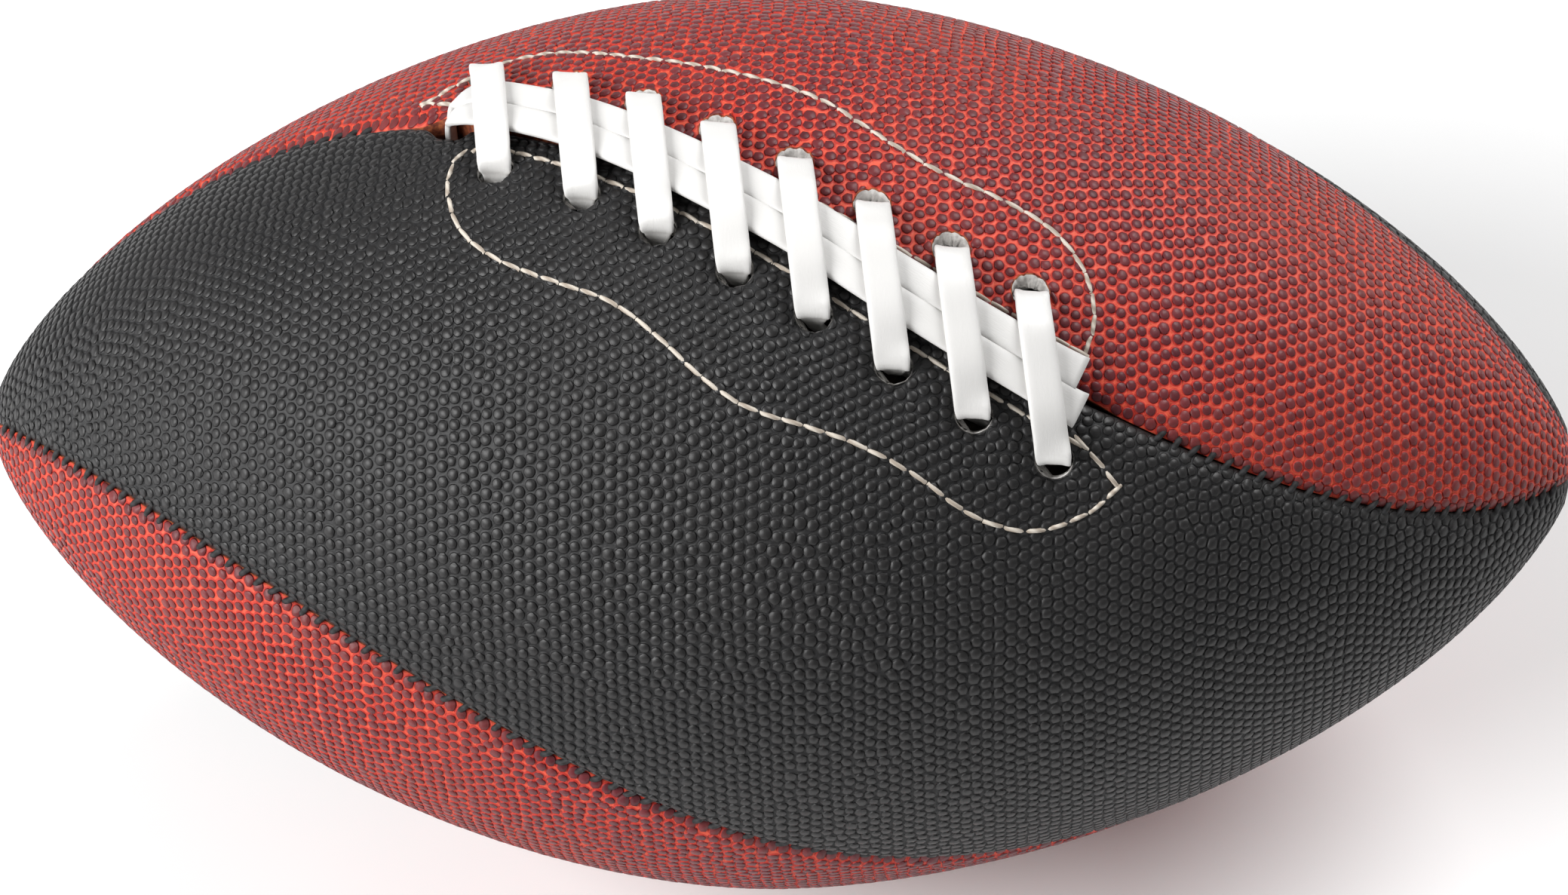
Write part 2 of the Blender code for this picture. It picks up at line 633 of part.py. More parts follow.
def make_valve(finish, core_finish):
    valve_angle = (VALVE_PANEL + 0.5) * QUARTER
    bladder_depth = radius_at(0, valve_angle, 0) - bladder_radius(0, valve_angle)
    flange_bottom = bladder_depth - LAYER_GAP
    flange_top = flange_bottom - VALVE_FLANGE_THICKNESS
    end = bladder_depth + BLADDER_THICKNESS + VALVE_BOSS_LENGTH
    bore = VALVE_BORE_RADIUS
    turned("valve_housing", (
        (VALVE_RECESS, bore), (VALVE_RECESS, VALVE_STEM_RADIUS), (flange_top, VALVE_STEM_RADIUS),
        (flange_top, VALVE_FLANGE_RADIUS), (flange_bottom, VALVE_FLANGE_RADIUS),
        (flange_bottom, VALVE_BOSS_RADIUS), (end, VALVE_BOSS_RADIUS), (end, bore)), finish)
    plug, head = bore - FIT_GAP, bore + FIT_GAP
    head_top = end + FIT_GAP
    head_bottom = head_top + VALVE_HEAD_THICKNESS
    turned("valve_core", (
        (VALVE_CORE_RECESS, 0), (VALVE_CORE_RECESS, plug), (head_top, plug), (head_top, head),
        (head_bottom, head), (head_bottom, 0)), core_finish)
    centre, out = valve_frame()
    inside = centre - out * end
    outside = centre + out * PANEL_THICKNESS
    middle = centre - out * (flange_top + flange_bottom) / 2
    stem_hole = drill("stem_hole", [(middle, outside)], VALVE_STEM_RADIUS + FIT_GAP, VALVE_SIDES)
    boss_hole = drill("boss_hole", [(inside, middle)], VALVE_BOSS_RADIUS + FIT_GAP, VALVE_SIDES)
    return stem_hole, boss_hole


# ---------------------------------------------------------------- the whole ball

def lace_hole_cutter(name, side):
    shafts = []
    for row in range(ROW_COUNT):
        x = hole_x(row, side)
        angle = side * HOLE_ACROSS / radius_at(x, 0, 0)
        out = spoke(x, angle)
        axis_point = Vector((x, 0, 0))
        radius = radius_at(x, angle, 0)
        shafts.append((axis_point + out * (radius - FACING_BOTTOM - PANEL_THICKNESS),
                       axis_point + out * (radius + 2 * PANEL_THICKNESS)))
    return drill(name, shafts, HOLE_RADIUS, HOLE_SIDES)


def main():
    for old in list(bpy.data.objects):
        bpy.data.objects.remove(old, do_unlink=True)

    red = material("red_cover", (0.30, 0.055, 0.035), 0.5)
    black = material("black_cover", (0.018, 0.018, 0.020), 0.5)
    cloth = material("lining_cloth", (0.42, 0.42, 0.40), 0.9)
    facing = material("facing_vinyl", (0.50, 0.48, 0.45), 0.8)
    tongue = material("tongue_leather", (0.32, 0.22, 0.14), 0.7)
    rubber = material("bladder_rubber", (0.06, 0.06, 0.065), 0.6)
    valve_rubber = material("valve_rubber", (0.03, 0.03, 0.03), 0.5)
    white = material("lace_vinyl", (0.86, 0.86, 0.84), 0.35)
    cream = material("cream_thread", (0.72, 0.68, 0.58), 0.8)
    dark_thread = material("black_thread", (0.015, 0.015, 0.015), 0.8)

    panel_names = ("panel_red_top", "panel_black_back", "panel_red_bottom", "panel_black_front")
    panels, linings = [], []
    for panel, name in enumerate(panel_names):
        laced = panel in (0, PANEL_COUNT - 1)
        rings = [panel_ring(x, panel) for x in panel_stations(laced)]
        panels.append(loft(name, rings, red if panel % 2 == 0 else black))
        lining_end = HALF_LENGTH - LINING_END_ROOM
        rings = [lining_ring(x, panel) for x in stations(lining_end, laced)]
        linings.append(loft(name.replace("panel", "lining"), rings, cloth))

    facings = []
    for name, side in (("facing_top", 1), ("facing_front", -1)):
        low, high = sorted((side * FACING_INNER, side * FACING_OUTER))
        facings.append(strip(name, SLIT_START, SLIT_END, low, high, FACING_TOP, FACING_BOTTOM, facing, 4))
    strip("tongue", TONGUE_START, TONGUE_END, -TONGUE_HALF_WIDTH, TONGUE_HALF_WIDTH,
          TONGUE_TOP, TONGUE_BOTTOM, tongue, 8)
    for name, side, pieces in (("lace_holes_top", 1, (panels[0], linings[0], facings[0])),
                               ("lace_holes_front", -1, (panels[-1], linings[-1], facings[1]))):
        cutter = lace_hole_cutter(name, side)
        for piece in pieces:
            cut(piece, cutter)

    bladder = make_bladder(rubber)
    stem_hole, boss_hole = make_valve(valve_rubber, rubber)
    cut(panels[VALVE_PANEL], stem_hole)
    cut(linings[VALVE_PANEL], stem_hole)
    cut(bladder, boss_hole)

    make_lace(white)
    stitch_line("stitch_line_top", BACK_OUTLINE, cream)
    stitch_line("stitch_line_front", FRONT_OUTLINE, cream)

    tip = HALF_LENGTH - THREAD_END_ROOM
    past_slit = 2 * SLIT_FADE
    for name, seam, start, end in (("back", 1, -tip, tip), ("bottom", 2, -tip, tip), ("front", 3, -tip, tip),
                                   ("laced_left", 0, -tip, SLIT_START - past_slit),
                                   ("laced_right", 0, SLIT_END + past_slit, tip)):
        thread("seam_thread_" + name, seam_points(seam, start, end), SEAM_THREAD_DIAMETER, dark_thread)


main()
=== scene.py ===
import math
from collections import namedtuple

import bmesh
import bpy
import numpy as np
from mathutils import Matrix, Vector, kdtree
from mathutils.geometry import delaunay_2d_cdt


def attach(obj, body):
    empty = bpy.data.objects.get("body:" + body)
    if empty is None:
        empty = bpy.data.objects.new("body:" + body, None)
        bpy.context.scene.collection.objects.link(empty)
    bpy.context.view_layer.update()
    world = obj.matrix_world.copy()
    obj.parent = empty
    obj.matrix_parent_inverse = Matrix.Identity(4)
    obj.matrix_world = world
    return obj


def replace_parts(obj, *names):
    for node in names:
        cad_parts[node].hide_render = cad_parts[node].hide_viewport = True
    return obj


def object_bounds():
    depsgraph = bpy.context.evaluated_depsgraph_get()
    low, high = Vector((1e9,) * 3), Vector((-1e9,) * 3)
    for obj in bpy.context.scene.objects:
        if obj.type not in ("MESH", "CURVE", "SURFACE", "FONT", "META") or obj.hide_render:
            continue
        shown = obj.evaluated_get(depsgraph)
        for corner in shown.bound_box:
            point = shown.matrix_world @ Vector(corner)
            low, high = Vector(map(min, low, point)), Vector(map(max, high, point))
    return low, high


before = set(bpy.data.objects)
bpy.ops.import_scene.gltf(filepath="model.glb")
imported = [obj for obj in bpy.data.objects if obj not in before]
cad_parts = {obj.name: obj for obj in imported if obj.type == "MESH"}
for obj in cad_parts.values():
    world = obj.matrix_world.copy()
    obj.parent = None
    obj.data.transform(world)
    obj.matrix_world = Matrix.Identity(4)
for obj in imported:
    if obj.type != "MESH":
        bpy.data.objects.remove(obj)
cad_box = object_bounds()

# The ball, as the frame has it: X from tip to tip, +Z through the middle of the lacing
HALF_LENGTH = 0.1405
WAIST_RADIUS = 0.0796
NOSE_SHARE = 0.9935
SHOULDER_POWER = 1.83
SHOULDER_END = 0.685
LOBE = 0.017
SEAM_TURN = (-57.0, 10.5, -8.5)
PANEL_THICKNESS = 0.0022
SEAM_GAP = 0.0003
VALLEY_DEPTH = 0.0016
VALLEY_WIDTH = 0.0040
QUARTER = math.pi / 2
SKIN_END = HALF_LENGTH - 0.0012      # where the pebbles stop, just short of each tip
INNER_END = HALF_LENGTH - 2 * PANEL_THICKNESS

# The turned-in edges
FLANGE_DEPTH = 0.0042
FLANGE_THICKNESS = 0.0015
TIP_FLANGE_THICKNESS = 0.35           # its most near the tips, as a share of the inner radius
WIDEST_ROOT = 0.7                     # as a share of the inner radius
NOSE_FLANGE = (0.45, 0.6, 1.0)        # its end, back and root at a tip, as shares of the inner radius
AT_THE_TIP = 1e-5                     # the rounding in a vertex's x at a tip
SAME_PLACE = 1e-6

# The underside's grid
UNDERSIDE_RINGS = 24
UNDERSIDE_COLUMNS = 11
UNDERSIDE_END_ROOM = 0.012
UNDERSIDE_EDGE_ROOM = 0.12            # as a share of the panel's width
UNDERSIDE_HOLE_ROOM = 0.005

# The pebbles; a seed is where a pebble's middle stands
CHART_STEPS = 6000
PATTERN_SEED = 7
PEBBLE_PITCH = 0.00226
PEBBLE_TOP = 0.00020                  # above the frame's skin
PEBBLE_FOOT = -0.00028
PEBBLE_HEIGHTS = (0.82, 1.12)         # the lowest and the highest top, as shares of the usual one
RING_SHARE = 0.70                     # a top's radius, as a share of its pebble's
RING_LIMIT = 0.8                      # the most that it may be on any one side
RING_ROUNDNESS = 0.75                 # 1 makes tops round, 0 gives them their pebble's outline
RING_HEIGHT = 0.8                     # of a top's rim, as a share of its middle's
RING_SPACING = 0.866                  # between the first seeds' rings, in pitches
FIRST_JITTER = 0.3                    # this and the next six are in pitches
LAST_JITTER = 0.045
BORDER_ROOM = 0.42
MIRROR_REACH = 2.4
WANTED_SPACING = 1.1
GROOVE_REACH = 0.6
SNAP_REACH = 0.35
GROOVE_PULL = 0.6                     # 1 puts a meeting of grooves equally far from its three seeds
PUSH_SHARE = 0.3
NEIGHBOURS = 7
RELAX_SWEEPS = 14
EDGE_ROOM = 0.009                     # how far in a panel makes room for the opening at its edge
EDGE_FADE = 0.0011                    # where the pebbles reach their height beside a seam
TIP_FADE = 0.003
GROOVE, RING, TOP = 0, 1, 2           # the kinds of points in the pattern

# The lacing
ROW_COUNT = 8
ROW_PITCH = 0.01335
ROW_CENTRE = 0.0018
ROW_SLANT = 0.0024
HOLE_ACROSS = 0.0129
HOLE_RADIUS = 0.0031
HOLE_TAPER = 0.0017                   # how far a hole's soft lining stands into it
PULLS = {1: 0.00175, -1: 0.0008}      # how far the laces are pulled towards the slit in their holes
FIRST_ROW_NUDGE = 0.0022              # the first row stands nearer the lacing's closed end
ROW_SHIFTS = (0.0022, 0.0018, 0.0010, 0.0006, 0.0008, 0.0003, 0.0003, 0.0004)      # towards the back
FIT_GAP = 0.0003
LACE_WIDTH = 0.0060
LONG_LACE_WIDTH = 0.0055
LACE_THICKNESS = 0.0014
PINCHED_WIDTH = 0.0026
MOUTH_WIDTH = 0.0044
MOUTH_FOLD = 0.22
PINCHED_THICKNESS = 0.0012
LACE_TAIL = 0.0550
TAIL_FLARE = 0.16
FLARE_STEPS = 6
FACING_BOTTOM = 0.0052
RUN_DEPTH = 0.0080
HOLE_HEIGHTS = (-FACING_BOTTOM - FIT_GAP, -0.0012)      # of the lace's two sections in a hole
BEND_START = 0.0006
BEND_LENGTH = 0.0022
STRAND_OFFSET = PINCHED_THICKNESS / 2 + FIT_GAP / 2
LOWER_HEIGHT = FIT_GAP + LACE_THICKNESS / 2
LONG_HEIGHT = LOWER_HEIGHT + LACE_THICKNESS + FIT_GAP
UPPER_HEIGHT = LONG_HEIGHT + LACE_THICKNESS + FIT_GAP
SLIT_START = -0.0580
SLIT_END = 0.0560
SLIT_HALF_WIDTH = 0.0006
SLIT_FADE = 0.006
EYE_X = -0.0542
EYE_ACROSS = PINCHED_WIDTH / 2 + FIT_GAP * 0.6
EYE_HALF_LENGTH = 0.00155
EYE_HALF_WIDTH = EYE_ACROSS + PINCHED_WIDTH / 2 + 2 * FIT_GAP
EYE_BEND = 0.006
LONG_ACROSS = LONG_LACE_WIDTH * 0.525
LONG_STEPS = 12
LACE_STEPS = 4                        # between two sections of the lace
LACE_SIDES = 20
LACE_FLATNESS = 0.42
LACE_SQUARENESS = 0.62

# The valve's hole and the finishes' places on a panel and on the lace
VALVE_HOLE_RADIUS = 0.0035
RIM_WIDTH = 0.0002                    # the rounding of a punched hole's rim
CUT_EDGE, BACKING = 1, 2              # after the outer face's own finish

# The stitches
CONTOUR_STITCH = {"Pitch": 0.0037, "Length": 0.0034, "Thickness": 0.00078, "Rise": 0.00036, "Wander": 0.05}
CONTOUR_LIFT = 0.00012
SEAM_STITCH = {"Pitch": 0.0032, "Length": 0.0036, "Thickness": 0.0011, "Rise": 0.0007,
               "Turn": math.radians(62), "Wander": 0.25}
SEAM_LIFT = 0.0006
SEAM_END_ROOM = 0.004
SEAM_ROUTE_POINTS = 90

# The two leathers; a pebble's top has a tone between the two in tops
# In both leathers side is the pebbles' walls, painted darker than net: painted shade in the groove round each
# pebble
RED_LEATHER = {"specular": 0.34, "relief": 0.00026, "top_size": 0.66, "net_width": 0.14, "top_gloss": 0.12,
               "side": (0.50, 0.030, 0.020), "net": (0.78, 0.105, 0.055),
               "tops": ((0.085, 0.014, 0.020), (0.150, 0.024, 0.030)),
               "wear_scale": 22.0, "marks": 0.2, "dirt": (0.50, 0.10, 0.06), "dirt_share": 0.16}
BLACK_LEATHER = {"specular": 0.5, "relief": 0.00022, "top_size": 0.68, "net_width": 0.06, "top_gloss": 0.10,
                 "side": (0.0055, 0.0055, 0.0062), "net": (0.0118, 0.0118, 0.0127),
                 "tops": ((0.0105, 0.0099, 0.0101), (0.0105, 0.0099, 0.0101)),
                 "wear_scale": 26.0, "marks": 0.4, "dirt": (0.020, 0.018, 0.018), "dirt_share": 0.2}

# The stage
FLOOR_GAP = 0.0005
FLOOR_REACH = 6.0

# soft_side points to where a hole's lining stands into it, and its length says how much, up to 1
Hole = namedtuple("Hole", "centre out radius soft_side")
Section = namedtuple("Section", "place face width thickness fold")


# ---------------------------------------------------------------- the ball's surface

def turn(x):
    """How far the seams have turned round the X axis at x."""
    share = x / HALF_LENGTH
    first, third, fifth = (math.radians(angle) for angle in SEAM_TURN)
    return first * share + third * share ** 3 + fifth * share ** 5


def round_radius(x, lift=0.0):
    """The radius at x of a ball shape without lobes, lifted off the cover."""
    share = np.minimum(np.abs(x) / (HALF_LENGTH + lift), 1.0) * NOSE_SHARE
    return (WAIST_RADIUS + lift) * (1 - share ** SHOULDER_POWER) ** SHOULDER_END


def lobe_factor(angle):
    return 1 - LOBE * (0.5 + 0.5 * np.cos(4 * angle))


def radius_at(x, angle, lift=0.0):
    return float(round_radius(x, lift) * lobe_factor(angle))


def spoke(x, angle):
    whole = turn(x) + angle
    return Vector((0, math.sin(whole), math.cos(whole)))


def tangent(x, angle):
    whole = turn(x) + angle
    return Vector((0, math.cos(whole), -math.sin(whole)))


def normal_at(x, angle):
    step = 0.0005
    slope = (radius_at(x + step, angle) - radius_at(x - step, angle)) / (2 * step)
    return (spoke(x, angle) - Vector((slope, 0, 0))).normalized()


def place(x, across, height):
    """A point from its distance along the ball, round it from the laced seam, and above the cover."""
    angle = across / radius_at(x, 0)
    return Vector((x, 0, 0)) + spoke(x, angle) * radius_at(x, angle, height)


def smooth_step(value):
    """From 0 to 1 with soft ends, as value goes from 0 to 1."""
    value = np.clip(value, 0.0, 1.0)
    return value * value * (3 - 2 * value)


def half_gap(x, seam):
    """Half the opening between two panels: a sewn seam, the slit, or the eye at the slit's end."""
    if seam % 4:
        return SEAM_GAP / 2 + 0 * x
    past_start = smooth_step((x - SLIT_START) / SLIT_FADE + 1)
    before_end = smooth_step((SLIT_END - x) / SLIT_FADE + 1)
    slit = SEAM_GAP / 2 + (SLIT_HALF_WIDTH - SEAM_GAP / 2) * np.minimum(past_start, before_end)
    from_eye = (np.abs(x - EYE_X) - EYE_HALF_LENGTH) / (2 * EYE_HALF_LENGTH)
    return slit + (EYE_HALF_WIDTH - slit) * (1 - smooth_step(from_eye))


def valley_scale(x):
    """The valleys shrink with the panels towards the tips."""
    return np.minimum(1.0, round_radius(x) * QUARTER / 2 / (3 * VALLEY_WIDTH))


# ---------------------------------------------------------------- the pebble pattern

class Chart:
    """The ball unrolled without bending angles: u along it and the angle round it, so circles stay round."""

    def __init__(self):
        self.x = np.linspace(-SKIN_END, SKIN_END, CHART_STEPS + 1)
        radius = round_radius(self.x)
        stretch = np.sqrt(1 + np.gradient(radius, self.x) ** 2)
        step = np.diff(self.x)
        self.arc = np.concatenate([[0], np.cumsum((stretch[1:] + stretch[:-1]) / 2 * step)])
        share = stretch / radius
        self.u = np.concatenate([[0], np.cumsum((share[1:] + share[:-1]) / 2 * step)])
        self.lean = np.gradient(turn(self.x), self.u)

    def x_at(self, u):
        return np.interp(u, self.u, self.x)

    def lean_at(self, u):
        return np.interp(u, self.u, self.lean)

    def pitch_at(self, u):
        """The pebbles' pitch in the chart's own measure."""
        return PEBBLE_PITCH / round_radius(self.x_at(u))


def first_seeds(chart, rng):
    """Rings of seeds across a panel, staggered, from one tip to the other."""
    count = int(round(chart.arc[-1] / (PEBBLE_PITCH * RING_SPACING)))
    seeds = []
    for ring, arc in enumerate((np.arange(count) + 0.5) / count * chart.arc[-1]):
        x = np.interp(arc, chart.arc, chart.x)
        number = max(2, int(round(round_radius(x) * QUARTER / PEBBLE_PITCH)))
        stagger = 0.25 * (-1) ** ring
        angle = (np.arange(number) + 0.5 + stagger) / number * QUARTER
        u = np.full(number, np.interp(x, chart.x, chart.u))
        seeds.append(np.column_stack([u, turn(x) + angle]))
    seeds = np.vstack(seeds)
    jitter = rng.uniform(-FIRST_JITTER, FIRST_JITTER, seeds.shape)
    return seeds + jitter * chart.pitch_at(seeds[:, 0])[:, None]


def with_mirrored(chart, seeds):
    """The seeds and those that stand near a border again on its other side, so pebbles end at the border."""
    points = seeds
    for end in (chart.u[0], chart.u[-1]):
        near = np.abs(points[:, 0] - end) < MIRROR_REACH * chart.pitch_at(points[:, 0])
        points = np.vstack([points, np.column_stack([2 * end - points[near, 0], points[near, 1]])])
    for side, edge in ((1, 0.0), (-1, QUARTER)):
        x, lean = chart.x_at(points[:, 0]), chart.lean_at(points[:, 0])
        slant = np.sqrt(1 + lean ** 2)
        away = side * (points[:, 1] - turn(x) - edge) / slant
        near = away < MIRROR_REACH * chart.pitch_at(points[:, 0])
        shift = np.column_stack([lean, -np.ones(len(lean))]) * (2 * side * away / slant)[:, None]
        points = np.vstack([points, (points + shift)[near]])
    return points


def kept_inside(chart, seeds):
    """The seeds, with those that stand too near a border moved in by part of a pitch."""
    room = BORDER_ROOM * chart.pitch_at(seeds[:, 0])
    u = np.clip(seeds[:, 0], room, chart.u[-1] - room)
    start = turn(chart.x_at(u))
    room = room * np.sqrt(1 + chart.lean_at(u) ** 2)
    return np.column_stack([u, np.clip(seeds[:, 1], start + room, start + QUARTER - room)])


def relax(chart, seeds):
    """Pushes neighbouring seeds apart until they stand about a pitch from each other."""
    for _ in range(RELAX_SWEEPS):
        points = with_mirrored(chart, seeds)
        tree = kdtree.KDTree(len(points))
        for i, (u, angle) in enumerate(points):
            tree.insert((u, angle, 0), i)
        tree.balance()
        nearest = [tree.find_n((u, angle, 0), NEIGHBOURS + 1)[1:] for u, angle in seeds]
        apart = seeds[:, None] - points[[[i for _, i, _ in found] for found in nearest]]
        distance = np.maximum(np.linalg.norm(apart, axis=2), 1e-6)
        wanted = WANTED_SPACING * chart.pitch_at(seeds[:, 0])
        push = np.clip(wanted[:, None] - distance, 0, None) / distance
        seeds = kept_inside(chart, seeds + PUSH_SHARE * (apart * push[:, :, None]).sum(axis=1))
    return seeds


def circumcentres(corners):
    """The points equally far from the three corners of each triangle."""
    a, b, c = corners[:, 0], corners[:, 1], corners[:, 2]
    ab, ac = b - a, c - a
    cross = 2 * (ab[:, 0] * ac[:, 1] - ab[:, 1] * ac[:, 0])
    ab_square, ac_square = (ab ** 2).sum(axis=1), (ac ** 2).sum(axis=1)
    u = (ac[:, 1] * ab_square - ab[:, 1] * ac_square) / cross
    v = (ab[:, 0] * ac_square - ac[:, 0] * ab_square) / cross
    return a + np.column_stack([u, v])


def pebble_pattern():
    """The pebbles of one panel as points, triangles and each corner's place in its pebble."""
    chart, rng = Chart(), np.random.default_rng(PATTERN_SEED)
    seeds = relax(chart, first_seeds(chart, rng))
    jitter = rng.normal(0, LAST_JITTER, seeds.shape)
    seeds = kept_inside(chart, seeds + jitter * chart.pitch_at(seeds[:, 0])[:, None])
    points = with_mirrored(chart, seeds)
    found = delaunay_2d_cdt([Vector(point) for point in points], [], [], 0, 1e-9)[2]
    triangles = np.array([face for face in found if min(face) < len(seeds)])
    corners = points[triangles]
    ab, ac = corners[:, 1] - corners[:, 0], corners[:, 2] - corners[:, 0]
    backwards = ab[:, 0] * ac[:, 1] < ab[:, 1] * ac[:, 0]
    triangles[backwards] = triangles[backwards][:, ::-1]
    grooves = groove_corners(chart, points[triangles], (triangles >= len(seeds)).any(axis=1))
    return pebble_mesh(chart, rng, seeds, triangles, grooves)


def groove_corners(chart, corners, mixed):
    """Where three pebbles' grooves meet; mixed marks the threes that have a mirror image among them."""
    middles = corners.mean(axis=1)
    offset = circumcentres(corners) - middles
    local = chart.pitch_at(middles[:, 0])
    length = np.maximum(np.linalg.norm(offset, axis=1), 1e-9)
    strength = np.where(mixed, 1.0, GROOVE_PULL) * np.minimum(1.0, GROOVE_REACH * local / length)
    return snapped(chart, middles + offset * strength[:, None], local, mixed)


def snapped(chart, grooves, local, mixed):
    """Puts the grooves between a pebble and its mirror image on the nearest border."""
    u, start = grooves[:, 0], turn(chart.x_at(grooves[:, 0]))
    inside = grooves[:, 1] - start
    end = np.where(u < chart.u[-1] / 2, 0.0, chart.u[-1])
    edge = np.where(inside < QUARTER / 2, 0.0, QUARTER)
    to_end, to_edge = np.abs(u - end) / local, np.abs(inside - edge) / local
    u = np.where(mixed & ((to_end < to_edge) | (to_end < SNAP_REACH)), end, u)
    inside = np.where(mixed & ((to_edge <= to_end) | (to_edge < SNAP_REACH)), edge, inside)
    u, inside = np.clip(u, 0, chart.u[-1]), np.clip(inside, 0, QUARTER)
    return np.column_stack([u, inside + turn(chart.x_at(u))])


def pebble_mesh(chart, rng, seeds, triangles, grooves):
    """Each pebble is a fan: its middle, a ring round its top and the grooves that it shares."""
    number, count = len(triangles), len(seeds)
    real = triangles < count
    owner = np.minimum(triangles, count - 1)
    middle = np.where(real[:, :, None], seeds[owner], 0)
    towards = grooves[:, None] - middle
    reach = np.linalg.norm(towards, axis=2)
    total, met = np.zeros(count), np.zeros(count)
    np.add.at(total, triangles[real], reach[real])
    np.add.at(met, triangles[real], 1)
    mean_reach = total / np.maximum(met, 1)
    wanted = RING_SHARE * (mean_reach[owner] * RING_ROUNDNESS + reach * (1 - RING_ROUNDNESS))
    ring = middle + towards * (np.minimum(wanted, RING_LIMIT * reach) / np.maximum(reach, 1e-9))[:, :, None]
    flat = np.vstack([grooves, ring.reshape(-1, 2), seeds])
    kind = np.repeat([GROOVE, RING, TOP], [number, 3 * number, count])
    strength = rng.uniform(*PEBBLE_HEIGHTS, count)
    share = np.concatenate([np.zeros(number), strength[owner].ravel(), strength])

    corner, other = shared_edges(triangles, count)
    left, right = corner // 3, other // 3
    ring_left = number + corner
    ring_right = number + 3 * right + (other % 3 + 1) % 3
    cell = triangles.ravel()[corner]
    top = 4 * number + cell
    faces = np.vstack([np.column_stack([right, left, ring_left]),
                       np.column_stack([right, ring_left, ring_right]),
                       np.column_stack([ring_right, ring_left, top])])
    cells = np.concatenate([cell, cell, cell])
    inside_pebble = (flat[faces] - seeds[cells][:, None]) / mean_reach[cells][:, None, None]
    tone = rng.uniform(0, 1, count)[cells]
    return {"chart": chart, "flat": flat, "kind": kind, "share": share, "faces": faces,
            "pebble": inside_pebble, "tone": tone}


def shared_edges(triangles, count):
    """Each real seed's corners, with the corner that starts the same edge the other way round."""
    start, end = triangles.ravel(), np.roll(triangles, -1, axis=1).ravel()
    span = triangles.max() + 1
    key, reverse = start * span + end, end * span + start
    order = np.argsort(key)
    position = np.minimum(np.searchsorted(key[order], reverse), len(order) - 1)
    match = order[position]
    good = (key[match] == reverse) & (start < count)
    return np.nonzero(good)[0], match[good]


# ---------------------------------------------------------------- cover panels

def skin_places(pattern, panel):
    """Where a panel's points stand, with the valleys at its seams and the pebbles on top."""
    u, whole = pattern["flat"][:, 0], pattern["flat"][:, 1]
    x = pattern["chart"].x_at(u)
    radius = round_radius(x)
    angle = np.clip(whole - turn(x), 0, QUARTER)
    edge_room = EDGE_ROOM / radius
    low = half_gap(x, panel) / radius
    high = half_gap(x, panel + 1) / radius
    angle = angle + low * np.clip(1 - angle / edge_room, 0, 1) ** 2
    angle = angle - high * np.clip(1 - (QUARTER - angle) / edge_room, 0, 1) ** 2
    from_edge = np.minimum(angle - low, QUARTER - high - angle) * radius
    scale = valley_scale(x)
    dip = VALLEY_DEPTH * scale * np.clip(1 - from_edge / (VALLEY_WIDTH * scale), 0, 1) ** 2
    from_tip = SKIN_END - np.abs(x)
    fade = smooth_step(from_edge / EDGE_FADE + 0.15) * smooth_step(from_tip / TIP_FADE + 0.2)
    height = np.where(pattern["kind"] == GROOVE, PEBBLE_FOOT, PEBBLE_TOP * pattern["share"])
    height = np.where(pattern["kind"] == RING, PEBBLE_TOP * RING_HEIGHT * pattern["share"], height) * fade
    distance = radius * lobe_factor(angle) - dip + height
    turned = angle + turn(x) + panel * QUARTER
    return np.column_stack([x, distance * np.sin(turned), distance * np.cos(turned)])


def skin_mesh(name, pattern, panel):
    used, faces = np.unique(pattern["faces"], return_inverse=True)
    faces = faces.reshape(-1, 3)
    mesh = bpy.data.meshes.new(name)
    mesh.from_pydata(skin_places(pattern, panel)[used].tolist(), [], faces.tolist())
    pebble = mesh.attributes.new("pebble", "FLOAT2", "CORNER")
    pebble.data.foreach_set("vector", pattern["pebble"].reshape(-1).astype(np.float32))
    tone = mesh.attributes.new("tone", "FLOAT", "FACE")
    tone.data.foreach_set("value", pattern["tone"].astype(np.float32))
    return mesh


def open_rings(edges):
    """The open edges as rings of vertices, in the direction that a wall built on them needs."""
    following = {}
    for edge in edges:
        if edge.is_boundary:
            loop = edge.link_loops[0]
            following[loop.link_loop_next.vert] = loop.vert
    rings = []
    while following:
        start = next(iter(following))
        ring, vert = [], start
        while vert in following:
            ring.append(vert)
            vert = following.pop(vert)
        rings.append(ring)
    return rings


def add_wall(build, ring, places, finish):
    """A strip of faces from a ring of vertices to new ones; places that coincide share a vertex."""
    made = []
    for point in places:
        same = made and (made[-1].co - point).length < SAME_PLACE
        made.append(made[-1] if same else build.verts.new(point))
    if (made[-1].co - made[0].co).length < SAME_PLACE:
        made[-1] = made[0]
    for i in range(len(ring)):
        j = (i + 1) % len(ring)
        corners = list(dict.fromkeys((ring[i], ring[j], made[j], made[i])))
        if len(corners) > 2:
            face = build.faces.new(corners)
            face.material_index = finish
            face.smooth = True
    return made


def from_axis(hole, point):
    """A point's offset from a hole's axis, square to it."""
    away = point - hole.centre
    return away - hole.out * away.dot(hole.out)


def open_sides(vert, gone):
    """How many of a vertex's edges would be open with the faces in gone deleted."""
    return sum(len(set(edge.link_faces) - gone) == 1 for edge in vert.link_edges)


def punch(build, holes):
    """Opens the round holes in the skin, each with one plain outline."""
    gone = set()
    for hole in holes:
        reach = hole.radius + 2 * PEBBLE_PITCH
        near = [vert for vert in build.verts if (vert.co - hole.centre).length < reach]
        for vert in near:
            gone |= {face for face in vert.link_faces
                     if from_axis(hole, face.calc_center_median()).length < hole.radius}
        pinched = near
        while pinched:
            pinched = [vert for vert in near if open_sides(vert, gone) > 2]
            for vert in pinched:
                gone |= set(vert.link_faces)
    bmesh.ops.delete(build, geom=list(gone), context="FACES")


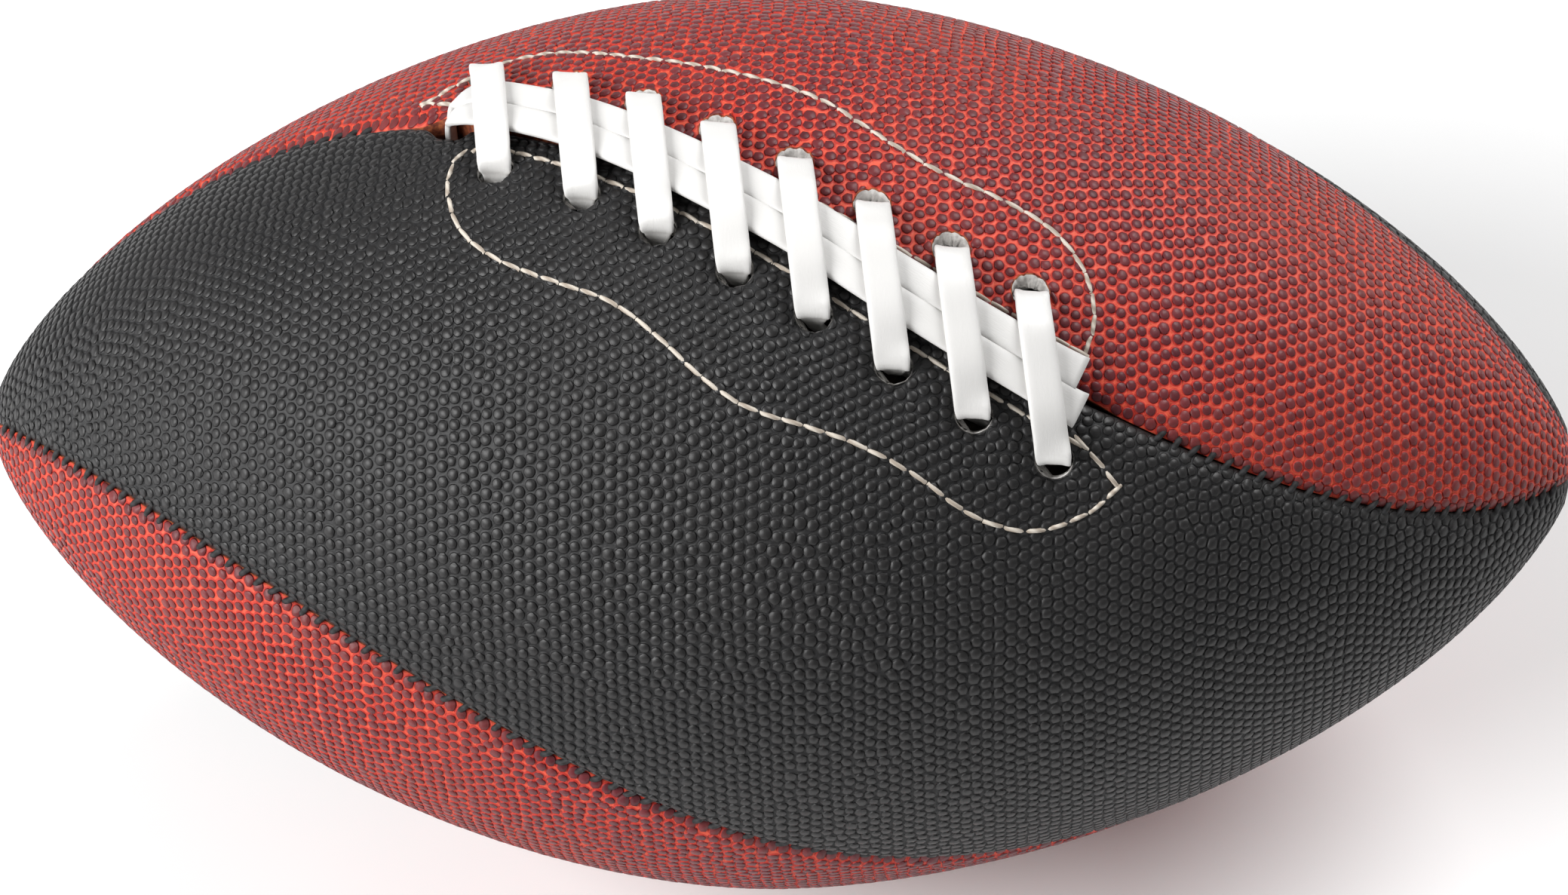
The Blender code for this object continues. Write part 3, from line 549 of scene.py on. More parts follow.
def line_hole(build, hole, rim):
    """Makes a punched hole's outline round, and adds its rounded rim and its wall. Returns its inner end."""
    out = hole.out
    across = Vector((1, 0, 0)) - out * out.x
    across.normalize()
    upwards = out.cross(across)
    offsets = [from_axis(hole, vert.co) for vert in rim]
    angles = np.unwrap([math.atan2(offset.dot(upwards), offset.dot(across)) for offset in offsets])
    even = math.copysign(2 * math.pi, angles[-1] - angles[0]) * np.arange(len(rim)) / len(rim)
    even += (angles - even).mean()
    ways = [across * math.cos(angle) + upwards * math.sin(angle) for angle in even]
    for vert, offset, way in zip(rim, offsets, ways):
        vert.co = vert.co - offset + way * (hole.radius + RIM_WIDTH) - out * RIM_WIDTH / 2
    corner = [vert.co - way * RIM_WIDTH - out * RIM_WIDTH for vert, way in zip(rim, ways)]
    ring = add_wall(build, rim, corner, CUT_EDGE)
    depth = PANEL_THICKNESS - 2 * RIM_WIDTH
    ends = []
    for vert, way in zip(ring, ways):
        taper = HOLE_TAPER * max(0.0, way.dot(hole.soft_side))
        ends.append(vert.co - out * depth - way * taper)
    return add_wall(build, ring, ends, BACKING)


def wedge_point(x, panel, side, along, inset):
    """A point beside a panel's edge: along from the axis, inset from the seam's plane into the panel."""
    middle = (panel + 0.5) * QUARTER
    out, round_ball = spoke(x, middle), tangent(x, middle)
    edge = out * math.cos(QUARTER / 2) + round_ball * side * math.sin(QUARTER / 2)
    inwards = out * math.sin(QUARTER / 2) - round_ball * side * math.cos(QUARTER / 2)
    return Vector((x, 0, 0)) + edge * along + inwards * inset


def flange_places(ring, panel):
    """Three rows of places for the turned-in edge: its end, its back and its root on the underside."""
    rows = ([], [], [])
    for vert in ring:
        x = max(-INNER_END, min(INNER_END, vert.co.x))
        inner = float(round_radius(x, -PANEL_THICKNESS))
        if abs(vert.co.x) > HALF_LENGTH - AT_THE_TIP:
            out = spoke(x, (panel + 0.5) * QUARTER)
            for row, share in zip(rows, NOSE_FLANGE):
                row.append(Vector((x, 0, 0)) + out * inner * share)
            continue
        side = 1 if vert.co.dot(tangent(vert.co.x, (panel + 0.5) * QUARTER)) > 0 else -1
        gap = float(half_gap(x, panel + (side > 0)))
        thickness = min(FLANGE_THICKNESS, TIP_FLANGE_THICKNESS * inner)
        root = inner * math.cos(math.asin(min((gap + thickness) / inner, WIDEST_ROOT)))
        skin_edge = math.hypot(vert.co.y, vert.co.z)
        end = max(min(skin_edge - VALLEY_DEPTH - FLANGE_DEPTH, root - FIT_GAP), NOSE_FLANGE[0] * root)
        for row, along, inset in zip(rows, (end, end, root), (gap, gap + thickness, gap + thickness)):
            row.append(wedge_point(x, panel, side, along, inset))
    return rows


def close_nose(build, panel):
    """Fans the last row of pebbles at each tip to a point beside the axis."""
    for sign in (-1, 1):
        edges = [edge for edge in build.edges if edge.is_boundary
                 and all(sign * vert.co.x > SKIN_END - AT_THE_TIP for vert in edge.verts)]
        beside_axis = spoke(sign * HALF_LENGTH, (panel + 0.5) * QUARTER) * SEAM_GAP
        apex = build.verts.new(Vector((sign * HALF_LENGTH, 0, 0)) + beside_axis)
        for edge in edges:
            loop = edge.link_loops[0]
            face = build.faces.new((loop.link_loop_next.vert, loop.vert, apex))
            face.smooth = True


def close_underside(build, panel, border, holes):
    """The underside: a coarse skin that joins the flanges' roots and the holes' inner ends."""
    def chart_place(point):
        angle = math.atan2(point.y, point.z) - turn(point.x) - panel * QUARTER
        return Vector((point.x, (angle + math.pi) % (2 * math.pi) * WAIST_RADIUS))

    border = list(dict.fromkeys(border))
    verts = border + [vert for ring in holes for vert in ring]
    edges, start = [], 0
    for ring in [border] + holes:
        edges += [(start + i, start + (i + 1) % len(ring)) for i in range(len(ring))]
        start += len(ring)
    middles = [sum((chart_place(vert.co) for vert in ring), Vector((0, 0))) / len(ring) for ring in holes]
    end = INNER_END - UNDERSIDE_END_ROOM
    for x in np.linspace(-end, end, UNDERSIDE_RINGS):
        for share in np.linspace(UNDERSIDE_EDGE_ROOM, 1 - UNDERSIDE_EDGE_ROOM, UNDERSIDE_COLUMNS):
            angle = (panel + share) * QUARTER
            point = Vector((x, 0, 0)) + spoke(x, angle) * radius_at(x, angle, -PANEL_THICKNESS)
            if all((chart_place(point) - middle).length > UNDERSIDE_HOLE_ROOM for middle in middles):
                verts.append(build.verts.new(point))
    found = delaunay_2d_cdt([chart_place(vert.co) for vert in verts], edges, [], 1, 1e-7)
    for face in found[2]:
        centre = sum((found[0][i] for i in face), Vector((0, 0))) / 3
        if any((centre - middle).length < HOLE_RADIUS * 0.9 for middle in middles):
            continue
        corners = [verts[found[3][i][0]] for i in face if found[3][i]]
        if len(set(corners)) == 3:
            made = build.faces.new(corners)
            made.material_index = BACKING
            made.smooth = True


def cover_panel(name, pattern, panel, holes, finishes):
    """A cover panel: pebbled skin, punched holes, turned-in edges and a plain underside."""
    mesh = skin_mesh(name, pattern, panel)
    build = bmesh.new()
    build.from_mesh(mesh)
    for face in build.faces:
        face.smooth = True
    close_nose(build, panel)
    punch(build, holes)
    *rims, border = sorted(open_rings(build.edges), key=len)
    inner_ends = []
    for rim in rims:
        hole = min(holes, key=lambda each: (each.centre - rim[0].co).length)
        inner_ends.append(line_hole(build, hole, rim))
    ends, backs, roots = flange_places(border, panel)
    ring = add_wall(build, border, ends, CUT_EDGE)
    ring = add_wall(build, ring, backs, BACKING)
    ring = add_wall(build, ring, roots, BACKING)
    close_underside(build, panel, ring, inner_ends)
    bmesh.ops.recalc_face_normals(build, faces=build.faces)
    build.to_mesh(mesh)
    build.free()
    made = add_piece(name, mesh, finishes)
    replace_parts(made, name.replace("pebbled", "panel"))


def lace_holes(side):
    """One side's lace holes; the soft lining stands further into the red panel's than into the black one's."""
    holes = []
    for row in range(ROW_COUNT):
        x = hole_x(row, side)
        angle = (side * HOLE_ACROSS + ROW_SHIFTS[row]) / radius_at(x, 0)
        out = spoke(x, angle)
        soft_side = tangent(x, angle) * (1.0 if side > 0 else -0.3)
        holes.append(Hole(Vector((x, 0, 0)) + out * radius_at(x, angle), out, HOLE_RADIUS, soft_side))
    return holes


# ---------------------------------------------------------------- the lace

def row_x(row):
    return ROW_CENTRE + (row - (ROW_COUNT - 1) / 2) * ROW_PITCH - FIRST_ROW_NUDGE * (row == 0)


def hole_x(row, side):
    return row_x(row) - side * ROW_SLANT


def row_shift(x):
    """How far the lacing stands off the slit's middle at x."""
    return float(np.interp(x, [row_x(row) for row in range(ROW_COUNT)], ROW_SHIFTS))


def knot(x, across, height, width, thickness, face, fold=0.0):
    """One section of the lace, at a place on the ball, looking the way of face."""
    return Section(place(x, across + row_shift(x), height), Vector(face), width, thickness, fold)


def strand_across(side, strand):
    """How far from the slit a strand stands in a side's holes: 1 is the outer strand, -1 the inner one."""
    return HOLE_ACROSS - PULLS[side] + strand * STRAND_OFFSET


def column(row, side, strand, height):
    """The lace in a hole, its face looking away from the slit."""
    x, across = hole_x(row, side), side * strand_across(side, strand)
    width = MOUTH_WIDTH if strand > 0 and height > -FACING_BOTTOM else PINCHED_WIDTH
    face = tangent(x, across / radius_at(x, 0)) * side
    return knot(x, across, height, width, PINCHED_THICKNESS, face, MOUTH_FOLD * (strand > 0))


def over_row(row, from_side, strand):
    """The lace from hole to hole over the cover; strand is 1 over the long laces and -1 under them."""
    if strand > 0:
        level = UPPER_HEIGHT
        shape = ((0.0002, 0.0008, LACE_WIDTH - 0.0004, 0.24), (-0.0006, 0.0022, LACE_WIDTH, 0.08),
                 (-0.0030, LONG_HEIGHT + 0.0005, LACE_WIDTH, 0.0))
    else:
        level = LOWER_HEIGHT
        shape = ((-0.0003, 0.0008, PINCHED_WIDTH + 0.0008, 0.0), (-0.0014, level + 0.0003, MOUTH_WIDTH, 0.0),
                 (-0.0032, level, LACE_WIDTH, 0.0))
    dive = {side: strand_across(side, strand) for side in (-1, 1)}
    beside_long = LONG_ACROSS + LONG_LACE_WIDTH * 0.55
    crossing = [(from_side * (dive[from_side] + step), *rest) for step, *rest in shape]
    crossing += [(side * beside_long, level, LACE_WIDTH, 0.0) for side in (from_side, 0, -from_side)]
    crossing += [(-from_side * (dive[-from_side] + step), *rest) for step, *rest in reversed(shape)]
    sections = [column(row, from_side, strand, height) for height in HOLE_HEIGHTS]
    for across, height, width, fold in crossing:
        x = row_x(row) - ROW_SLANT * across / HOLE_ACROSS
        angle = across / radius_at(x, 0)
        into_hole = abs(across) - dive[1 if across > 0 else -1]
        lean = float(smooth_step(into_hole / BEND_LENGTH + 1))
        face = normal_at(x, angle) * (1 - lean) + tangent(x, angle) * math.copysign(lean, across)
        sections.append(knot(x, across, height, width, LACE_THICKNESS, face, fold))
    return sections + [column(row, -from_side, strand, height) for height in reversed(HOLE_HEIGHTS)]


def inside_run(row, next_row, side, strand):
    """The lace inside the ball between two neighbouring holes of one side."""
    across = side * strand_across(side, strand)
    start, end = hole_x(row, side), hole_x(next_row, side)
    way = math.copysign(1, end - start)
    sections = []
    for x, drop in ((start + way * BEND_START, 0.6), (start + way * BEND_LENGTH, 1.0),
                    ((start + end) / 2, 1.0),
                    (end - way * BEND_LENGTH, 1.0), (end - way * BEND_START, 0.6)):
        depth = FACING_BOTTOM + (RUN_DEPTH - FACING_BOTTOM) * drop
        face = tangent(x, across / radius_at(x, 0)) * side
        sections.append(knot(x, across, -depth, PINCHED_WIDTH, PINCHED_THICKNESS, face))
    return sections


def long_strand(side):
    """A long lace over the slit, from its flared cut end down into the eye at the slit's end."""
    sections = []
    for x in np.linspace(LACE_TAIL, EYE_X + EYE_BEND, LONG_STEPS + 1):
        across = side * LONG_ACROSS
        face = normal_at(x, across / radius_at(x, 0))
        sections.append(knot(x, across, LONG_HEIGHT, LONG_LACE_WIDTH, LACE_THICKNESS, face))
    step = 0.0005
    lean = (turn(EYE_X + step) - turn(EYE_X - step)) / (2 * step) * radius_at(EYE_X, 0)
    back = Vector((-1, 0, 0)) - tangent(EYE_X, 0) * lean
    for x_shift, share, drop, width_share in ((0.0032, 0.80, 0.0006, 0.95), (0.0008, 0.45, 0.0017, 0.70)):
        across = side * (EYE_ACROSS + (LONG_ACROSS - EYE_ACROSS) * share)
        width = PINCHED_WIDTH + (LONG_LACE_WIDTH - PINCHED_WIDTH) * width_share
        face = normal_at(EYE_X, 0) * share + back * (1 - share)
        sections.append(knot(EYE_X + x_shift, across, LONG_HEIGHT - drop, width, LACE_THICKNESS, face))
    for height in (-0.0002, -FACING_BOTTOM):
        sections.append(knot(EYE_X, side * EYE_ACROSS, height, PINCHED_WIDTH, PINCHED_THICKNESS, back))
    return sections


def inside_path(points):
    """The lace inside the ball through x and across points, lying flat under the cover."""
    sections = []
    for x, across in points:
        face = -normal_at(x, across / radius_at(x, 0))
        sections.append(knot(x, across, -RUN_DEPTH, PINCHED_WIDTH, PINCHED_THICKNESS, face))
    return sections


def lace_sections():
    """The whole lace: it enters at the eye, zigzags to the last row, and comes back under itself."""
    outer, inner = strand_across(1, 1), strand_across(1, -1)
    last = ROW_COUNT - 1
    path = long_strand(1)
    first_hole = hole_x(0, 1)
    path += inside_path([(EYE_X + 0.0004, 0.0035), (EYE_X + 0.0008, outer - 0.0062),
                         (first_hole - 0.0052, outer - 0.0017), (first_hole - 0.0026, outer)])
    side = 1
    for row in range(ROW_COUNT):
        path += over_row(row, side, 1)
        side = -side
        if row < last:
            path += inside_run(row, row + 1, side, 1)
    end_red, end_black = hole_x(last, 1), hole_x(last, -1)
    path += inside_path([(end_red + 0.0026, outer), (end_red + 0.0048, inner - 0.0010),
                         (end_black, 0.0060), (end_black, -0.0060), (end_black, -inner + 0.0024)])
    side = -1
    for row in range(last, -1, -1):
        path += over_row(row, side, -1)
        side = -side
        if row > 0:
            path += inside_run(row, row - 1, side, -1)
    path += inside_path([(hole_x(0, -1) - 0.0022, -inner + 0.0006), (EYE_X + 0.0030, -0.0050)])
    return path + list(reversed(long_strand(-1)))


def between(places, share):
    """A smooth curve's point a share of the way from the second of four places to the third."""
    knots = [0.0]
    for start, end in zip(places, places[1:]):
        knots.append(knots[-1] + max((end - start).length, 1e-6) ** 0.5)
    now = knots[1] + (knots[2] - knots[1]) * share
    for first, span in ((0, 1), (0, 2), (1, 1)):
        places = [start.lerp(end, (now - knots[i]) / (knots[i + span] - knots[i]))
                  for i, (start, end) in enumerate(zip(places, places[1:]), first)]
    return places[0]


def smooth_lace():
    """The lace's sections, with more between them on a smooth curve."""
    sections = lace_sections()
    last = len(sections) - 1
    path = []
    for i in range(last):
        near = [sections[max(0, min(last, i + shift))] for shift in (-1, 0, 1, 2)]
        _, start, end, _ = near
        for share in np.arange(LACE_STEPS) / LACE_STEPS:
            face = start.face.normalized().lerp(end.face.normalized(), share)
            blend = float(smooth_step(share))
            sizes = [a + (b - a) * blend for a, b in zip(start[2:], end[2:])]
            path.append(Section(between([section.place for section in near], share), face, *sizes))
    return path + [sections[-1]]


def lace_mesh():
    """The lace as a smooth flat strand with rounded edges; its map runs along it and round it."""
    path = smooth_lace()
    last = len(path) - 1
    build = bmesh.new()
    layer = build.loops.layers.uv.new("lace")
    rows, travelled = [], [0.0]
    for i, (point, face, width, thickness, fold) in enumerate(path):
        along = (path[min(i + 1, last)].place - path[max(i - 1, 0)].place).normalized()
        face = (face - along * face.dot(along)).normalized()
        sideways = along.cross(face)
        half_width = width * flare_at(min(i, last - i)) / 2
        row = []
        for j in range(LACE_SIDES):
            angle = 2 * math.pi * (j + 0.5) / LACE_SIDES
            u = math.copysign(abs(math.cos(angle)) ** LACE_FLATNESS, math.cos(angle))
            v = math.copysign(abs(math.sin(angle)) ** LACE_SQUARENESS, math.sin(angle))
            out = v * thickness / 2 + fold * (u * u - 0.4) * width / 2
            row.append(build.verts.new(point + sideways * u * half_width + face * out))
        rows.append(row)
        if i:
            travelled.append(travelled[-1] + (point - path[i - 1].place).length)
    for i in range(last):
        for j in range(LACE_SIDES):
            k = (j + 1) % LACE_SIDES
            made = build.faces.new((rows[i][j], rows[i][k], rows[i + 1][k], rows[i + 1][j]))
            made.smooth = True
            for loop, at, round_share in zip(made.loops, (i, i, i + 1, i + 1), (j, j + 1, j + 1, j)):
                loop[layer].uv = (travelled[at], round_share / LACE_SIDES)
    for row in (rows[0], rows[-1]):
        cap = build.faces.new(row)
        cap.material_index = CUT_EDGE
        bmesh.ops.poke(build, faces=[cap])
    bmesh.ops.recalc_face_normals(build, faces=build.faces)
    mesh = bpy.data.meshes.new("lace")
    build.to_mesh(mesh)
    build.free()
    return mesh


def flare_at(steps_from_end):
    """The cut ends of the lace spread a little."""
    return 1 + TAIL_FLARE * max(0.0, 1 - steps_from_end / FLARE_STEPS) ** 2


# ---------------------------------------------------------------- node trees

def add_node(tree, kind, sockets=None, **settings):
    """One node with its settings, and its inputs as values or as the sockets that feed them."""
    made = tree.nodes.new(kind)
    for name, value in settings.items():
        setattr(made, name, value)
    for name, value in (sockets or {}).items():
        if isinstance(value, bpy.types.NodeSocket):
            tree.links.new(value, made.inputs[name])
        else:
            made.inputs[name].default_value = value
    return made


def math_node(tree, operation, *values, clamp=False):
    made = add_node(tree, "ShaderNodeMath", dict(enumerate(values)), operation=operation, use_clamp=clamp)
    return made.outputs[0]


def times(tree, first, second):
    return math_node(tree, "MULTIPLY", first, second)


# ---------------------------------------------------------------- stitches

def smooth_route(knots, samples=6):
    """Points on a smooth curve through the knots, each given as x and across."""
    knots = np.array([knots[0], *knots, knots[-1]])
    route = []
    for a, b, c, d in zip(knots, knots[1:], knots[2:], knots[3:]):
        for s in np.arange(samples) / samples:
            route.append(0.5 * (2 * b + (c - a) * s + (2 * a - 5 * b + 4 * c - d) * s ** 2
                                + (3 * b - a - 3 * c + d) * s ** 3))
    return route + [knots[-1]]


# each line of stitches as x and across: the short turn at its sharp corner, the outline, and the slit's edge
BACK_LINES = (
    ((-0.0560, 0.0052), (-0.0592, 0.0056)),
    ((-0.0590, 0.0062), (-0.0546, 0.0117), (-0.0467, 0.0196), (-0.0374, 0.0240), (-0.0228, 0.0256),
     (-0.0082, 0.0280), (0.0085, 0.0300), (0.0203, 0.0277), (0.0300, 0.0266), (0.0420, 0.0273),
     (0.0496, 0.0262), (0.0547, 0.0217), (0.0567, 0.0150), (0.0558, 0.0092)),
    ((-0.0500, 0.0082), (-0.0250, 0.0082), (0.0000, 0.0080), (0.0250, 0.0078), (0.0545, 0.0074)))
FRONT_LINES = (
    ((0.0552, -0.0074), (0.0579, -0.0089), (0.0604, -0.0107)),
    ((-0.0480, -0.0066), (-0.0510, -0.0085), (-0.0526, -0.0130), (-0.0524, -0.0183), (-0.0493, -0.0250),
     (-0.0423, -0.0287), (-0.0320, -0.0292), (-0.0228, -0.0287), (-0.0145, -0.0307), (-0.0063, -0.0336),
     (0.0015, -0.0338), (0.0098, -0.0314), (0.0194, -0.0288), (0.0290, -0.0281), (0.0370, -0.0290),
     (0.0450, -0.0273), (0.0521, -0.0227), (0.0592, -0.0152), (0.0608, -0.0126)),
    ((-0.0465, -0.0060), (-0.0300, -0.0066), (-0.0050, -0.0072), (0.0200, -0.0078), (0.0540, -0.0078)))


def one_stitch(tree, ins):
    """A thread that bows over the cover and is thinner where it dips in at both ends."""
    half = times(tree, ins["Length"], 0.5)
    back = times(tree, half, -1.0)
    sunk = times(tree, ins["Rise"], -1.0)
    start = add_node(tree, "ShaderNodeCombineXYZ", {"Y": sunk, "Z": back}).outputs[0]
    middle = add_node(tree, "ShaderNodeCombineXYZ", {"Y": ins["Rise"]}).outputs[0]
    end = add_node(tree, "ShaderNodeCombineXYZ", {"Y": sunk, "Z": half}).outputs[0]
    arc = add_node(tree, "GeometryNodeCurveQuadraticBezier",
                   {"Resolution": 8, "Start": start, "Middle": middle, "End": end}).outputs[0]
    share = add_node(tree, "GeometryNodeSplineParameter").outputs["Factor"]
    from_middle = math_node(tree, "ABSOLUTE", math_node(tree, "SUBTRACT", times(tree, share, 2.0), 1.0))
    thinning = times(tree, math_node(tree, "POWER", from_middle, 4.0), 0.6)
    belly = math_node(tree, "SUBTRACT", 1.0, thinning)
    arc = add_node(tree, "GeometryNodeSetCurveRadius", {"Curve": arc, "Radius": belly}).outputs[0]
    radius = times(tree, ins["Thickness"], 0.5)
    ring = add_node(tree, "GeometryNodeCurvePrimitiveCircle", {"Resolution": 8, "Radius": radius}).outputs[0]
    tube = add_node(tree, "GeometryNodeCurveToMesh",
                    {"Curve": arc, "Profile Curve": ring, "Fill Caps": True})
    return add_node(tree, "GeometryNodeSetShadeSmooth", {"Geometry": tube.outputs[0]}).outputs[0]


def stitch_rotation(tree, ins):
    """Lays a stitch along its route and on the ball, turned a little and each a little differently."""
    way = add_node(tree, "GeometryNodeInputTangent").outputs[0]
    position = add_node(tree, "GeometryNodeInputPosition").outputs[0]
    where = add_node(tree, "ShaderNodeSeparateXYZ", {0: position}).outputs
    out = add_node(tree, "ShaderNodeCombineXYZ", {"Y": where["Y"], "Z": where["Z"]}).outputs[0]
    aligned = add_node(tree, "FunctionNodeAlignRotationToVector", {"Vector": way}, axis="Z").outputs[0]
    aligned = add_node(tree, "FunctionNodeAlignRotationToVector", {"Rotation": aligned, "Vector": out},
                       axis="Y", pivot_axis="Z").outputs[0]
    random = add_node(tree, "FunctionNodeRandomValue", {"Seed": 5}, data_type="FLOAT")
    tree.links.new(times(tree, ins["Wander"], -1.0), random.inputs[2])
    tree.links.new(ins["Wander"], random.inputs[3])
    swing = math_node(tree, "ADD", ins["Turn"], random.outputs[1])
    local = add_node(tree, "ShaderNodeCombineXYZ", {"Y": swing}).outputs[0]
    local = add_node(tree, "FunctionNodeEulerToRotation", {0: local}).outputs[0]
    return add_node(tree, "FunctionNodeRotateRotation", {0: aligned, 1: local},
                    rotation_space="LOCAL").outputs[0]


def stitch_tree():
    """Lays a thread's stitches along a route, each an arc that dips into the cover at both ends."""
    tree = bpy.data.node_groups.new("stitches_along_route", "GeometryNodeTree")
    interface = tree.interface
    interface.new_socket("Route", in_out="INPUT", socket_type="NodeSocketGeometry")
    for name in ("Pitch", "Length", "Thickness", "Rise", "Turn", "Wander"):
        interface.new_socket(name, in_out="INPUT", socket_type="NodeSocketFloat")
    interface.new_socket("Thread", in_out="INPUT", socket_type="NodeSocketMaterial")
    interface.new_socket("Stitches", in_out="OUTPUT", socket_type="NodeSocketGeometry")
    ins = tree.nodes.new("NodeGroupInput").outputs
    spots = add_node(tree, "GeometryNodeResampleCurve", {"Curve": ins["Route"], "Length": ins["Pitch"]},
                     mode="LENGTH").outputs[0]
    laid = add_node(tree, "GeometryNodeInstanceOnPoints",
                    {"Points": spots, "Instance": one_stitch(tree, ins),
                     "Rotation": stitch_rotation(tree, ins)}).outputs[0]
    laid = add_node(tree, "GeometryNodeRealizeInstances", {0: laid}).outputs[0]
    laid = add_node(tree, "GeometryNodeSetMaterial",
                    {"Geometry": laid, "Material": ins["Thread"]}).outputs[0]
    tree.links.new(laid, tree.nodes.new("NodeGroupOutput").inputs[0])
    return tree


def stitches(name, routes, tree, thread, sizes):
    """The stitches along some routes as one plain mesh."""
    curve = bpy.data.curves.new(name, "CURVE")
    curve.dimensions = "3D"
    for route in routes:
        spline = curve.splines.new("POLY")
        spline.points.add(len(route) - 1)
        for slot, point in zip(spline.points, route):
            slot.co = (*point, 1)
    guide = bpy.data.objects.new(name + "_guide", curve)
    bpy.context.collection.objects.link(guide)
    modifier = guide.modifiers.new("stitches", "NODES")
    modifier.node_group = tree
    sockets = {item.name: item.identifier for item in tree.interface.items_tree if item.in_out == "INPUT"}
    for key, value in {**sizes, "Thread": thread}.items():
        modifier[sockets[key]] = value
    evaluated = guide.evaluated_get(bpy.context.evaluated_depsgraph_get())
    mesh = bpy.data.meshes.new_from_object(evaluated)
    bpy.data.objects.remove(guide)
    mesh.name = name
    return mesh


# ---------------------------------------------------------------- finishes

def new_material(name, roughness=0.5, specular=0.5):
    made = bpy.data.materials.new(name)
    made.use_nodes = True
    shader = made.node_tree.nodes["Principled BSDF"]
    shader.inputs["Roughness"].default_value = roughness
    shader.inputs["Specular IOR Level"].default_value = specular
    return made, made.node_tree, shader


def ramp(tree, value, start, end):
    """A soft step from 0 at start to 1 at end."""
    made = add_node(tree, "ShaderNodeMapRange", {"Value": value, "From Min": start, "From Max": end},
                    interpolation_type="SMOOTHSTEP")
    return made.outputs[0]


def mix_colour(tree, share, first, second):
    made = tree.nodes.new("ShaderNodeMix")
    made.data_type = "RGBA"
    for socket, value in ((made.inputs[0], share), (made.inputs[6], first), (made.inputs[7], second)):
        if isinstance(value, bpy.types.NodeSocket):
            tree.links.new(value, socket)
        else:
            socket.default_value = value if socket == made.inputs[0] else (*value, 1)
    return made.outputs[2]


def noise(tree, scale, detail=2.0, vector=None):
    vector = vector or add_node(tree, "ShaderNodeTexCoord").outputs["Object"]
    made = add_node(tree, "ShaderNodeTexNoise", {"Vector": vector, "Scale": scale, "Detail": detail})
    return made.outputs["Fac"]


def bump(tree, shader, height, distance, strength=1.0):
    made = add_node(tree, "ShaderNodeBump", {"Height": height, "Distance": distance, "Strength": strength})
    tree.links.new(made.outputs[0], shader.inputs["Normal"])


def shader_group(group_name, inputs, outputs):
    """A new shader node group: its tree, the values that come in and the sockets that go out."""
    tree = bpy.data.node_groups.new(group_name, "ShaderNodeTree")
    for name, value in inputs:
        socket = tree.interface.new_socket(name, in_out="INPUT", socket_type="NodeSocketFloat")
        socket.default_value = value
    for name in outputs:
        tree.interface.new_socket(name, in_out="OUTPUT", socket_type="NodeSocketFloat")
    return tree, tree.nodes.new("NodeGroupInput").outputs, tree.nodes.new("NodeGroupOutput").inputs


def pebble_group():
    """Masks of a pebbled cover: each pebble's top, the net of grooves between them, and a fine height."""
    tree, ins, outs = shader_group("pebble_masks", (("Top Size", 0.66), ("Net Width", 0.16)),
                                   ("Top", "Net", "Tone", "Height"))
    spot = add_node(tree, "ShaderNodeAttribute", attribute_name="pebble").outputs["Vector"]
    tone = add_node(tree, "ShaderNodeAttribute", attribute_name="tone").outputs["Fac"]
    length = add_node(tree, "ShaderNodeVectorMath", {0: spot}, operation="LENGTH").outputs["Value"]
    wobble = times(tree, math_node(tree, "SUBTRACT", noise(tree, 900.0), 0.5), 0.16)
    length = math_node(tree, "ADD", length, wobble)
    spread = times(tree, math_node(tree, "SUBTRACT", tone, 0.5), 0.12)
    size = math_node(tree, "ADD", ins["Top Size"], spread)
    past_top = ramp(tree, math_node(tree, "SUBTRACT", length, size), -0.06, 0.07)
    top = math_node(tree, "SUBTRACT", 1.0, past_top)
    net = ramp(tree, math_node(tree, "ADD", length, ins["Net Width"]), 0.92, 1.08)
    height = math_node(tree, "ADD", times(tree, top, 0.8), times(tree, noise(tree, 2600.0, 3.0), 0.12))
    height = math_node(tree, "ADD", height, times(tree, net, 0.16))
    for socket, value in (("Top", top), ("Net", net), ("Tone", tone), ("Height", height)):
        tree.links.new(value, outs[socket])
    return tree


def wear_group():
    """Slow variation over a surface: dirt, fading and small marks, from 0 to 1."""
    tree, ins, outs = shader_group("slow_wear", (("Scale", 30.0), ("Marks", 0.5)), ("Wear",))
    slow = ramp(tree, noise(tree, ins["Scale"], 4.0), 0.3, 0.7)
    marks = times(tree, ramp(tree, noise(tree, 420.0, 3.0), 0.68, 0.80), ins["Marks"])
    tree.links.new(math_node(tree, "ADD", slow, marks, clamp=True), outs[0])
    return tree


def place_group(tree, group, **values):
    made = tree.nodes.new("ShaderNodeGroup")
    made.node_tree = group
    for name, value in values.items():
        made.inputs[name.replace("_", " ")].default_value = value
    return made.outputs


def cover_leather(name, look, pebbles, wear):
    """Pebbled leather: dark tops, a side round each painted darker than the net as shade on the pebbles'
    walls, and a net of its own colour in the grooves.
    """
    made, tree, shader = new_material(name, specular=look["specular"])
    masks = place_group(tree, pebbles, Top_Size=look["top_size"], Net_Width=look["net_width"])
    worn = place_group(tree, wear, Scale=look["wear_scale"], Marks=look["marks"])["Wear"]
    # the side colour round each pebble, darker than the net, is painted shade on its walls
    side = mix_colour(tree, masks["Net"], look["side"], look["net"])
    colour = mix_colour(tree, masks["Top"], side, mix_colour(tree, masks["Tone"], *look["tops"]))
    colour = mix_colour(tree, times(tree, worn, look["dirt_share"]), colour, look["dirt"])
    tree.links.new(colour, shader.inputs["Base Color"])
    rough = math_node(tree, "SUBTRACT", 0.56, times(tree, masks["Top"], look["top_gloss"]))
    rough = math_node(tree, "ADD", rough, times(tree, worn, 0.05))
    tree.links.new(rough, shader.inputs["Roughness"])
    bump(tree, shader, masks["Height"], look["relief"])
    return made


